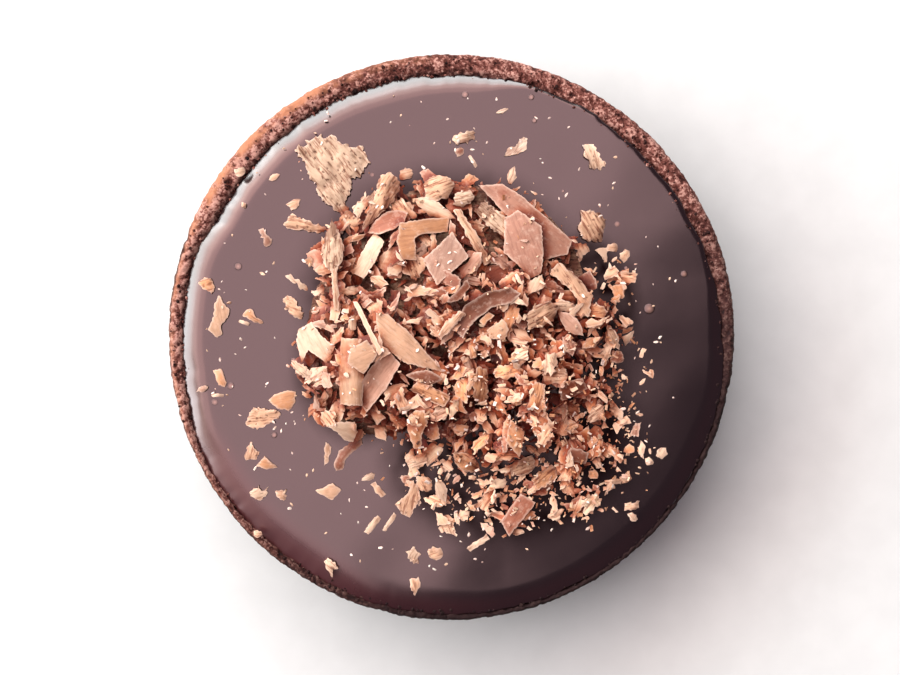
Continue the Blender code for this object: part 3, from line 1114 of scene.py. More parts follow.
class Cut(Enum):
    """Outlines of a shaving, its length from -1 to 1 along x and its width from -1 to 1 along y."""

    SLAB = ((-1, -0.8), (-0.1, -1), (0.92, -0.9), (1, 0.8), (0.2, 1), (-0.9, 0.9))
    LEAF = ((-1, -0.1), (-0.5, -0.7), (0.1, -1), (0.6, -0.7), (1, 0.05), (0.6, 0.6), (0.1, 1), (-0.5, 0.75))
    KITE = ((-1, 0.05), (-0.1, -1), (1, -0.1), (0.25, 0.7), (-0.25, 1))
    FEATHER = ((-1, 0), (-0.3, -0.45), (0.4, -1), (0.9, -0.7), (1, 0.5), (0.75, 1), (0.1, 0.7), (-0.6, 0.35))
    STICK = ((-1, -0.7), (0.1, -0.8), (0.95, -0.9), (1, 0.7), (0, 1), (-1, 0.8))
    CHUNK = ((-0.9, -0.5), (-0.4, -0.9), (0.4, -1), (1, -0.2), (0.8, 0.6), (0, 1), (-0.7, 0.7))
    SHARD = ((-1, -0.9), (0.2, -0.8), (1, 0.1), (-0.6, 0.9))


class Face(Enum):
    """How a shaving's face was made."""

    SMOOTH = "slid over by the blade"
    RASPED = "torn by the grater"


@dataclass(frozen=True)
class Shaving:
    """One shaving, in millimetres and degrees.

    Attributes:
        middle: its place on the tart.
        length: its length, along its heading.
        width: its width.
        heading: where its length points, round from +X.
        cut: its outline.
        tone: its colour.
        face: how its face was made.
        thickness: its thickness.
        bow: how far its middle stands over its ends.
        curl: how far its middle line stands over its two long sides.
        lean: rise along its own length and width, in mm for each mm.
        corners: its outline on the tart, instead of a cut, when it has one of its own.
        node: the solid that it replaces.
        shade: its tone's share of the light.
    """

    middle: Point
    length: float
    width: float
    heading: float
    cut: Cut = Cut.SLAB
    tone: Tone = Tone.TAN
    face: Face = Face.RASPED
    thickness: float = 0.5
    bow: float = 0.3
    curl: float = 0.1
    lean: Point = (0.0, 0.0)
    corners: tuple[Point, ...] = ()
    node: str = ""
    shade: float = 1.0


@dataclass(frozen=True)
class Shaver:
    """Turns shavings into bodies.

    Attributes:
        spacing: how far apart the points of an outline are.
        ragged: how ragged an outline is.
        jitter: how far its corners are moved, as a share.
    """

    spacing: float
    ragged: float
    jitter: float = 0.08

    def outline(self, shaving: Shaving, seed: int) -> np.ndarray:
        """The shaving's ragged outline.

        Args:
            shaving: the shaving.
            seed: picks its raggedness.

        Returns:
            Points in its own coordinates, (n, 2), anticlockwise.
        """
        if shaving.corners:
            corners = turned(np.array(shaving.corners) - shaving.middle, -shaving.heading)
        else:
            chance = np.random.default_rng(seed)
            corners = np.array(shaving.cut.value) * (shaving.length / 2, shaving.width / 2)
            corners = corners * (1 + chance.uniform(-self.jitter, self.jitter, corners.shape))
            corners = corners * chance.uniform(1 - self.jitter, 1 + self.jitter, (len(corners), 1))
        side = np.roll(corners, -1, axis=0) - corners
        if np.sum(corners[:, 0] * side[:, 1] - corners[:, 1] * side[:, 0]) < 0:
            corners = corners[::-1]
            side = np.roll(corners, -1, axis=0) - corners
        made = []
        for corner, step in zip(corners, side):
            pieces = max(1, round(float(np.hypot(*step)) / self.spacing))
            made += [corner + step * i / pieces for i in range(pieces)]
        line = np.array(made)
        ahead = np.roll(line, -1, axis=0) - np.roll(line, 1, axis=0)
        outward = np.stack([ahead[:, 1], -ahead[:, 0]], axis=1)
        outward /= np.maximum(np.linalg.norm(outward, axis=1, keepdims=True), 1e-6)
        spot = np.concatenate([line, np.full((len(line), 1), seed * 3.7)], axis=1)
        torn = 1.6 if shaving.face is Face.RASPED else 0.7
        wander = 0.6 * ripples(spot, 0.8, seed) + ripples(spot, 0.31, seed + 1)
        reach = min(self.ragged * torn, shaving.width * 0.17)
        return line + outward * (wander * reach)[:, None]

    def sheet(self, line: np.ndarray) -> tuple[np.ndarray, np.ndarray, int]:
        """Fills an outline with an even net.

        Args:
            line: the outline, (n, 2), anticlockwise.

        Returns:
            The points, the outline's own first, the triangles, and how many points the outline has.
        """
        low, high = line.min(axis=0), line.max(axis=0)
        across = np.arange(low[0], high[0], self.spacing)
        up = np.arange(low[1], high[1], self.spacing * 0.87)
        grid = np.array([(x + self.spacing / 2 * (row % 2), y) for row, y in enumerate(up) for x in across])
        if len(grid):
            far = np.linalg.norm(grid[:, None] - line[None], axis=2).min(axis=1) > self.spacing * 0.62
            grid = grid[far & inside(grid, line)]
        points = np.concatenate([line, grid.reshape(-1, 2)])
        ring = [(i, (i + 1) % len(line)) for i in range(len(line))]
        found = geometry.delaunay_2d_cdt([Vector(p) for p in points], ring, [], 1, 1e-5)
        net = np.array([tuple(v) for v in found[0]])
        faces = np.array([f for f in found[2] if len(f) == 3])
        if len(net) != len(points) or not len(faces):
            return line, np.array([(0, i, i + 1) for i in range(1, len(line) - 1)]), len(line)
        return net, faces, len(line)

    def body(self, shaving: Shaving, seed: int) -> Body:
        """The shaving as a closed body, its middle at the origin and its length along x.

        Args:
            shaving: the shaving.
            seed: picks its raggedness and its relief.

        Returns:
            The body.
        """
        line = self.outline(shaving, seed)
        net, faces, ring = self.sheet(line)
        count = len(net)
        far = np.linalg.norm(net[:, None] - line[None], axis=2).min(axis=1)
        rim = np.clip(1.0 - far / 0.3, 0.0, 1.0)
        length = max(float(np.ptp(line[:, 0])), 0.1)
        width = max(float(np.ptp(line[:, 1])), 0.1)
        lie = np.concatenate([net, np.full((count, 1), 0.0)], axis=1) + (seed * 5.3, seed * 1.9, seed * 2.3)
        arch = shaving.bow * (1 - (2 * net[:, 0] / length) ** 2)
        arch += shaving.curl * (1 - (2 * net[:, 1] / width) ** 2)
        relief = self.relief(lie, shaving, seed)
        half = shaving.thickness / 2 * (1.0 - 0.12 * rim**2)
        upper = np.column_stack([net, arch + half + relief])
        lower = np.column_stack([net, arch - half + relief * 0.3])
        here = np.arange(ring)
        ahead = (here + 1) % ring
        walls = np.concatenate(
            [
                np.stack([count + here, count + ahead, ahead], axis=1),
                np.stack([count + here, ahead, here], axis=1),
            ]
        )
        return Body(
            points=np.concatenate([upper, lower]),
            faces=np.concatenate([faces, faces[:, ::-1] + count, walls]),
            lie=np.concatenate([lie, lie + (0, 0, shaving.thickness)]),
            rim=np.concatenate([rim, rim]),
            relief=np.concatenate([relief, relief * 0.3 - 0.1]),
        )

    def relief(self, lie: np.ndarray, shaving: Shaving, seed: int) -> np.ndarray:
        """How far a shaving's face stands out at each point.

        Args:
            lie: points in its own coordinates, (n, 3).
            shaving: the shaving.
            seed: picks its relief.

        Returns:
            n heights.
        """
        chance = np.random.default_rng(seed)
        size = min(shaving.width, 4.0)
        chipped = np.zeros(len(lie))
        centred = lie[:, :2] - (seed * 5.3, seed * 1.9)
        for _ in range(0 if shaving.corners else 1 if shaving.face is Face.SMOOTH else 2):
            turn = chance.uniform(0, math.tau)
            past = centred @ (math.cos(turn), math.sin(turn)) - size * chance.uniform(0.1, 0.4)
            chipped += np.clip(past, 0, None) * chance.uniform(0.15, 0.45)
        chipped = np.minimum(chipped, shaving.thickness * 0.45)
        if shaving.face is Face.SMOOTH:
            furrow = ripples(lie * (0.12, 1.0, 1.0), 0.5, seed)
            return 0.035 * furrow + 0.05 * ripples(lie, 1.8, seed + 1) - chipped * 0.6
        ridge = ripples(lie * (0.12, 1.0, 1.0), 0.42, seed)
        step = np.tanh(5.0 * ripples(lie * (0.7, 1.0, 1.0), 1.4, seed + 3))
        pit = np.clip(ripples(lie * (0.5, 1.0, 1.0), 0.55, seed + 2) - 0.2, 0, 1)
        scale = min(1.0, shaving.width / 4.0)
        return scale * (0.16 * ridge + 0.1 * step - 0.35 * pit) - chipped


def inside(points: np.ndarray, line: np.ndarray) -> np.ndarray:
    """Which points lie inside a closed outline.

    Args:
        points: points, (n, 2).
        line: the outline, (m, 2).

    Returns:
        n truth values.
    """
    x, y = points[:, :1], points[:, 1:2]
    start, end = line, np.roll(line, -1, axis=0)
    spans = (start[:, 1] > y) != (end[:, 1] > y)
    rise = np.where(np.abs(end[:, 1] - start[:, 1]) < 1e-9, 1e-9, end[:, 1] - start[:, 1])
    crossing = start[:, 0] + (y - start[:, 1]) * (end[:, 0] - start[:, 0]) / rise
    return (spans & (x < crossing)).sum(axis=1) % 2 == 1


@dataclass
class Landing:
    """The height of whatever has landed so far, on a square net over the tart."""

    surface: Callable[[np.ndarray, np.ndarray], np.ndarray]
    reach: float = 44.0
    cell: float = 0.25
    # How fast red, green and blue fade with shelter in the painted shade: light deep in milk chocolate turns
    # red-brown.
    crevice: tuple[float, float, float] = (1.35, 3.0, 3.8)
    heights: np.ndarray = field(init=False)

    def __post_init__(self) -> None:
        """Starts with the bare surface."""
        steps = np.arange(-self.reach, self.reach + self.cell, self.cell)
        x, y = np.meshgrid(steps, steps, indexing="ij")
        self.heights = self.surface(x, y)

    def cells(self, points: np.ndarray) -> tuple[np.ndarray, np.ndarray]:
        """The net's cell under each point."""
        found = np.rint((points[..., :2] + self.reach) / self.cell).astype(int)
        found = np.clip(found, 0, len(self.heights) - 1)
        return found[..., 0], found[..., 1]

    def under(self, points: np.ndarray) -> np.ndarray:
        """The height under each point."""
        return self.heights[self.cells(points)]

    def cover(self, points: np.ndarray) -> None:
        """Raises the net to the points, with the cells beside them."""
        column, row = self.cells(points)
        last = len(self.heights) - 1
        for dx, dy in itertools.product((-1, 0, 1), repeat=2):
            spot = (np.clip(column + dx, 0, last), np.clip(row + dy, 0, last))
            np.maximum.at(self.heights, spot, points[..., 2] - 0.06 * (abs(dx) + abs(dy)))

    def shelter(self, points: np.ndarray) -> np.ndarray:
        """How much of the sky what lies round each point hides from it.

        Args:
            points: points, (n, 3).

        Returns:
            n shares, 0 in the open and 1 or more in a deep crevice.
        """
        total = np.zeros(len(points))
        turns = np.linspace(0, math.tau, 8, endpoint=False)
        for reach, turn in itertools.product((0.5, 1.1), turns):
            beside = points + (reach * math.cos(turn), reach * math.sin(turn), 0.0)
            total += np.clip((self.under(beside) - points[:, 2]) / reach - 0.8, 0.0, 1.4)
        return total / 16

    def settle(self, body: Body, middle: Point, follow: float, sink: float, lean: np.ndarray) -> Body:
        """Lets a body fall until it rests on what lies there.

        Args:
            body: the body, turned to its heading, its middle at the origin.
            middle: where it falls.
            follow: how much of the slope under it it takes on, 0 to 1.
            sink: share of its footprint that ends above what it presses into.
            lean: rise of its own along x and y.

        Returns:
            The body in place.
        """
        points = body.points + (*middle, 0.0)
        ground = self.under(points)
        flat = np.column_stack([body.points[:, :2], np.ones(len(points))])
        slope = np.linalg.lstsq(flat, ground, rcond=None)[0][:2]
        steep = float(np.hypot(*slope))
        slope = slope * follow * min(1.0, 0.5 / max(steep, 1e-6)) + lean
        points[:, 2] += body.points[:, :2] @ slope
        points[:, 2] += np.quantile(ground - points[:, 2], sink)
        self.cover(points)
        return Body(points, body.faces, body.lie, body.rim, body.relief)


@dataclass(frozen=True)
class Drift:
    """A patch over which chocolate falls at random.

    Attributes:
        middle: its middle on the tart.
        reach: its half width and half height.
        heading: where its half width points, round from +X.
        flakes: how many flakes fall.
        crumbs: how many crumbs fall.
        longest: length of the longest flakes.
        tones: how often each tone comes, in Tone's order.
        edge: how softly it thins out, 0 for an even patch and 1 for one dense only in the middle.
        tumbled: how steeply its flakes come to lie, as a slope.
        slender: least and most of how many times longer than wide its flakes are.
        shade: its tones' share of the light.
    """

    middle: Point
    reach: Point
    heading: float
    flakes: int
    crumbs: int
    longest: float
    tones: tuple[float, ...]
    edge: float = 0.5
    tumbled: float = 0.2
    slender: Point = (1.3, 3.8)
    shade: float = 1.13

    def cover(self, points: np.ndarray) -> np.ndarray:
        """How much painted shade the patch puts on the ganache at each point: 1 inside, fading to 0 just
        outside.
        """
        flat = turned(points[:, :2] - self.middle, -self.heading) / self.reach
        return ease((1.25 - np.hypot(flat[:, 0], flat[:, 1])) / 0.42)

    def spots(self, rng: np.random.Generator, count: int) -> np.ndarray:
        """Random places in the patch.

        Args:
            rng: the source of chance.
            count: how many.

        Returns:
            Places, (count, 2).
        """
        far = rng.random(count) ** (0.5 + 0.5 * self.edge)
        turn = rng.random(count) * math.tau
        flat = np.column_stack([far * np.cos(turn) * self.reach[0], far * np.sin(turn) * self.reach[1]])
        return turned(flat, self.heading) + self.middle


@dataclass
class ChocolateHeap:
    """The heap of shavings, flakes and crumbs over its packed core, and what fell beside it.

    Attributes:
        finish: the chocolate's material.
        landing: what has landed so far.
        level: the height of the ganache.
        rng: the source of chance.
        mounds: the core's swells: middle x and y, reach along x and y, and rise.
        core_middle: the middle of the core.
        core_reach: how far out it can go.
        core_sink: how much of the swells is under the ganache.
        pale_rim: how pale a shaving's broken rim is painted, partly its own colour and partly a highlight.
        rim_colour: the colour of a broken rim.
        pit_colour: what the painted shade in the pits of a torn face keeps of red, green and blue.
        flake_length: a flake's least length.
        flake_width: its least width.
        flake_thickness: its least and most thickness.
        torn_share: how many of the flakes have a torn face.
        seed: picks the raggedness of the next shaving.
    """

    finish: bpy.types.Material
    landing: Landing
    level: float
    rng: np.random.Generator
    mounds: tuple[tuple[float, ...], ...] = (
        (1.0, 7.5, 11.5, 9.5, 6.2),
        (-12.0, -4.5, 6.8, 7.2, 3.9),
    )
    core_middle: Point = (-2.5, 3.5)
    core_reach: float = 26.0
    core_sink: float = 1.3
    pale_rim: float = 0.6
    rim_colour: str = "#ead6c4"
    pit_colour: tuple[float, float, float] = (0.3, 0.16, 0.12)
    flake_length: float = 1.1
    flake_width: float = 0.55
    flake_thickness: Point = (0.3, 0.6)
    torn_share: float = 0.6
    seed: int = 100

    def core_height(self, x: np.ndarray, y: np.ndarray) -> np.ndarray:
        """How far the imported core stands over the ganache.

        Args:
            x: places, in mm.
            y: places, in mm.

        Returns:
            Heights, 0 outside the core.
        """
        height = np.zeros_like(np.asarray(x, dtype=float))
        for middle_x, middle_y, reach_x, reach_y, rise in self.mounds:
            spread = ((x - middle_x) / reach_x) ** 2 + ((y - middle_y) / reach_y) ** 2
            height = height + rise * np.exp(-spread / 2)
        return np.maximum(height - self.core_sink, 0.0)

    def build_core(self) -> bpy.types.Object:
        """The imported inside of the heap, which shows only in its crevices."""
        steps, rings = 240, 72
        share = (np.arange(1, rings + 1) / rings)[:, None]
        angle = np.linspace(0, math.tau, steps, endpoint=False)[None, :]
        x = self.core_middle[0] + share * self.core_reach * np.cos(angle)
        y = self.core_middle[1] + share * self.core_reach * np.sin(angle)
        place = np.stack([x, y, x * 0], axis=-1).reshape(-1, 3)
        height = self.core_height(x, y)
        packed = 0.9 * (grains(place, 1.9, 41) - 0.6) + 0.5 * (grains(place, 0.9, 47) - 0.5)
        bumps = packed.reshape(height.shape) * ease(height / 0.9)
        sunk = np.where(height > 0.02, 0.0, -0.25)
        top = np.stack([x, y, self.level + height + bumps + sunk], axis=-1)
        floor = np.stack([x[-1], y[-1], np.full(steps, self.level - 0.6)], axis=-1)[None]
        shell = np.concatenate([top, floor]).reshape(-1, 3)
        peak = float(self.core_height(*map(np.array, self.core_middle)))
        middle_x, middle_y = self.core_middle
        points = np.concatenate(
            [[[middle_x, middle_y, self.level + peak]], shell, [[middle_x, middle_y, self.level - 0.6]]]
        )
        faces = ring_faces(rings + 1, steps)
        piece = add_piece("shavings_core", points, faces, self.finish, 180.0)
        tone = 0.5 * Tone.RED.colour + (Tone.TAN.colour - Tone.RED.colour) * np.clip(
            ripples(points, 0.9, 53)[:, None] * 0.8, 0, 1
        )
        add_values(piece.data, "tone", "FLOAT_COLOR", np.column_stack([tone, np.ones(len(tone))]))
        add_values(piece.data, "raw", "FLOAT", np.ones(len(points)))
        add_values(piece.data, "lie", "FLOAT_VECTOR", points)
        spread = self.landing
        steps_x = np.arange(-spread.reach, spread.reach + spread.cell, spread.cell)
        grid_x, grid_y = np.meshgrid(steps_x, steps_x, indexing="ij")
        spread.heights = np.maximum(spread.heights, self.level + self.core_height(grid_x, grid_y))
        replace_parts(piece, "shavings_heap")
        return piece

    def coloured(self, body: Body, tone: np.ndarray, raw: float) -> tuple[np.ndarray, np.ndarray]:
        """A shaving's colours: its tone, uneven, and paler along its broken edges, with painted shade in its
        pits.

        Args:
            body: the shaving.
            tone: its linear colour.
            raw: how broken its face is.

        Returns:
            The linear colour and the rawness of each vertex.
        """
        uneven = 1.0 + 0.13 * ripples(body.lie, 1.6, 61) + 0.07 * ripples(body.lie, 0.5, 67)
        # Its broken edges are paler: partly their own colour, partly a painted highlight where they catch
        # the light.
        pale = (body.rim * self.pale_rim)[:, None]
        colours = tone * uneven[:, None]
        colours = colours + (np.array(linear(self.rim_colour)) - colours) * pale
        # Painted shade in the pits of a torn face.
        pit = np.clip(-body.relief / 0.3 - 0.35, 0, 1)[:, None]
        colours = colours + (self.pit_colour * tone - colours) * pit * raw * 0.8
        return np.clip(colours, 0.0, 1.0), np.maximum(np.full(len(body.points), raw), body.rim * 0.45)

    def lay(
        self, shaving: Shaving, shaver: Shaver, into: Gathering, sink: float = 0.84, follow: float = 0.7
    ) -> None:
        """Shapes one shaving, lets it fall and adds it.

        Args:
            shaving: the shaving.
            shaver: what shapes it.
            into: where it is gathered.
            sink: share of its footprint that ends above what it presses into.
            follow: how much of the slope under it it takes on.
        """
        self.seed += 7
        body = shaver.body(shaving, self.seed)
        body.points = turned(body.points, shaving.heading)
        lean = turned(np.array(shaving.lean), shaving.heading)
        body = self.landing.settle(body, shaving.middle, follow, sink, lean)
        tone = shaving.tone.colour * shaving.shade * self.rng.uniform(0.92, 1.14)
        raw = min(1.0, 0.4 + 0.2 * shaving.width) if shaving.face is Face.RASPED else 0.2
        into.add(body, *self.coloured(body, tone, raw))

    def fall_flakes(self, drift: Drift, into: Gathering) -> None:
        """Lets a drift's flakes fall.

        Args:
            drift: the drift.
            into: where they are gathered.
        """
        rng = self.rng
        tones = list(Tone)
        for spot in drift.spots(rng, drift.flakes):
            length = max(self.flake_length, drift.longest * rng.random() ** 1.1)
            width = length / rng.uniform(*drift.slender)
            shaving = Shaving(
                middle=(float(spot[0]), float(spot[1])),
                length=length,
                width=max(width, self.flake_width),
                heading=rng.uniform(0, 360),
                cut=list(Cut)[rng.integers(len(Cut))],
                tone=tones[rng.choice(len(tones), p=drift.tones)],
                face=Face.RASPED if rng.random() < self.torn_share else Face.SMOOTH,
                thickness=rng.uniform(*self.flake_thickness),
                bow=length * rng.uniform(-0.04, 0.08),
                curl=width * rng.uniform(-0.06, 0.1),
                shade=drift.shade * rng.uniform(0.92, 1.08),
                lean=(rng.normal(0, drift.tumbled * 0.8), rng.normal(0, drift.tumbled)),
            )
            self.lay(shaving, Shaver(spacing=0.3, ragged=0.24, jitter=0.3), into, 0.8, 0.55)

    def fall_crumbs(
        self, drift: Drift, into: Gathering, smallest: float, largest: float, rounded: bool = False
    ) -> None:
        """Lets a drift's crumbs fall, each a small broken splinter with flat facets.

        Args:
            drift: the drift.
            into: where they are gathered.
            smallest: shortest length.
            largest: longest length.
            rounded: whether they are round crumbs rather than splinters.
        """
        rng = self.rng
        tones = np.array([tone.colour for tone in Tone])
        spots = drift.spots(rng, drift.crumbs)
        for start in range(0, len(spots), 40):
            here = spots[start : start + 40]
            count = len(here)
            length = smallest + (largest - smallest) * rng.random(count) ** (1.5 if rounded else 2.2)
            width = length * rng.uniform(0.4 if rounded else 0.25, 0.6, count)
            tall = np.minimum(width, 0.4) * rng.uniform(0.5, 1.0, count)
            size = np.stack([length, width, tall], axis=1)[:, None] / 2
            solid, faces = broken_lumps(count) if rounded else broken_blocks(count)
            shape = solid * size * rng.uniform(0.6, 1.1, solid.shape)
            shape = turned(shape, rng.uniform(0, 360, count)[:, None])
            shape[..., 2] += (shape[..., :2] * rng.normal(0, 0.3, (count, 1, 2))).sum(axis=-1)
            shape[..., :2] += here[:, None]
            rest = np.quantile(self.landing.under(shape) - shape[..., 2], 0.72, axis=1)
            shape[..., 2] += rest[:, None]
            self.landing.cover(shape.reshape(-1, 3))
            chosen = tones[rng.choice(len(tones), count, p=drift.tones)] * rng.uniform(1.0, 1.3, (count, 1))
            points = shape.reshape(-1, 3)
            none = np.zeros(len(points))
            body = Body(points, np.array(faces), points + start, none, none)
            colours = np.clip(np.repeat(chosen, solid.shape[1], axis=0), 0, 1)
            into.add(body, colours, np.full(len(points), 0.6))


CREAM, TAN, ORANGE, PINK, BROWN, RED, MILK = Tone
SLAB, LEAF, KITE, FEATHER, STICK, CHUNK, SHARD = Cut
SMOOTH, RASPED = Face

# The shavings that can be told apart, those underneath first. Millimetres and degrees.
LOWER_SHAVINGS = (
    Shaving((-18.3, 13.8), 8.8, 3.3, -88, LEAF, CREAM, RASPED, 1.0, 0.6, 0.3),
    Shaving((-17.9, 7.0), 6.5, 1.0, -86, STICK, TAN, RASPED, 0.5),
    Shaving((-2.1, 23.3), 5.2, 4.2, 20, CHUNK, TAN, RASPED, 1.6, 0.6, 0.5),
    Shaving((1.9, 21.6), 3.5, 2.6, 10, CHUNK, CREAM, RASPED, 1.4, 0.4, 0.4),
    Shaving((9.5, 25.3), 3.0, 1.6, 70, LEAF, CREAM, RASPED, 0.8),
    Shaving((-2.8, 20.1), 7.2, 2.6, -26, LEAF, CREAM, SMOOTH, 0.5, 0.5, 0.3, (0.0, 0.2)),
    Shaving((13.9, 3.4), 5.5, 3.5, 30, CHUNK, TAN, RASPED, 0.7, 0.4, 0.3),
    Shaving((21.6, 8.4), 3.2, 2.5, -60, SLAB, RED, SMOOTH, 0.6, 0.1, 0.1, (0.1, 0.3)),
    Shaving((22.6, 3.9), 4.5, 2.3, 0, LEAF, ORANGE, RASPED, 0.5),
    Shaving((18.6, 2.1), 6.0, 2.3, -45, LEAF, PINK, SMOOTH, 0.5, 0.4, 0.2, (0.1, 0.1)),
    Shaving((25.5, -0.1), 4.5, 1.8, -65, LEAF, TAN, RASPED, 0.5),
    Shaving((22.2, -0.9), 4.0, 1.8, 30, KITE, ORANGE, SMOOTH, 0.5, 0.5),
    Shaving((-4.0, -6.3), 5.6, 2.2, -8, LEAF, RED, SMOOTH, 0.6, 0.3, 0.2, (0.0, 0.3)),
    Shaving((-3.2, -8.8), 6.0, 2.2, -25, SLAB, ORANGE, RASPED, 0.6),
    Shaving(
        (-16.3, -18.4), 6.4, 2.4, 48, tone=RED, face=SMOOTH, thickness=0.6, bow=0.4, curl=0.3,
        corners=(
            (-18.5, -20.2), (-17.7, -18.1), (-15.8, -16.7), (-14.2, -15.9), (-14.0, -17.0), (-15.6, -18.3),
            (-16.6, -19.4), (-17.1, -21.0), (-18.2, -21.3),
        ),
    ),
    Shaving(
        (-19.7, -18.5), 3.8, 0.9, -75,
        corners=((-19.8, -16.7), (-19.0, -17.5), (-19.3, -19.7), (-20.1, -20.5), (-20.0, -18.1)),
    ),
    Shaving(
        (-16.8, -14.8), 4.6, 3.1, -20, tone=CREAM, face=SMOOTH, thickness=0.6, bow=0.3,
        corners=(
            (-19.2, -14.1), (-18.2, -13.4), (-15.0, -13.3), (-14.6, -14.9), (-15.3, -16.5), (-16.6, -16.2),
            (-17.7, -14.9),
        ),
    ),
    Shaving((18.9, -8.2), 4.5, 2.4, 25, SLAB, RED, SMOOTH, 0.6, 0.2, 0.1, (0.0, 0.15)),
    Shaving((19.9, -18.7), 3.5, 2.2, -15, SLAB, RED, SMOOTH, 0.6, 0.2, 0.1),
    Shaving((10.0, -16.0), 6.2, 3.2, -75, KITE, ORANGE, SMOOTH, 0.5, 0.4, 0.2),
    Shaving((13.2, -9.3), 4.7, 2.2, 75, SLAB, ORANGE, RASPED, 0.6),
    Shaving((4.6, -7.6), 5.6, 2.3, 85, SLAB, ORANGE, RASPED, 0.6),
    Shaving((11.2, -20.5), 5.0, 2.8, 25, CHUNK, TAN, RASPED, 0.7),
    Shaving((14.8, -22.3), 5.2, 2.8, 40, CHUNK, ORANGE, RASPED, 0.7),
    Shaving((2.5, -19.8), 5.4, 3.0, -35, LEAF, ORANGE, RASPED, 0.6),
    Shaving((-1.6, -24.2), 4.2, 2.0, -70, LEAF, CREAM, SMOOTH, 0.5),
)
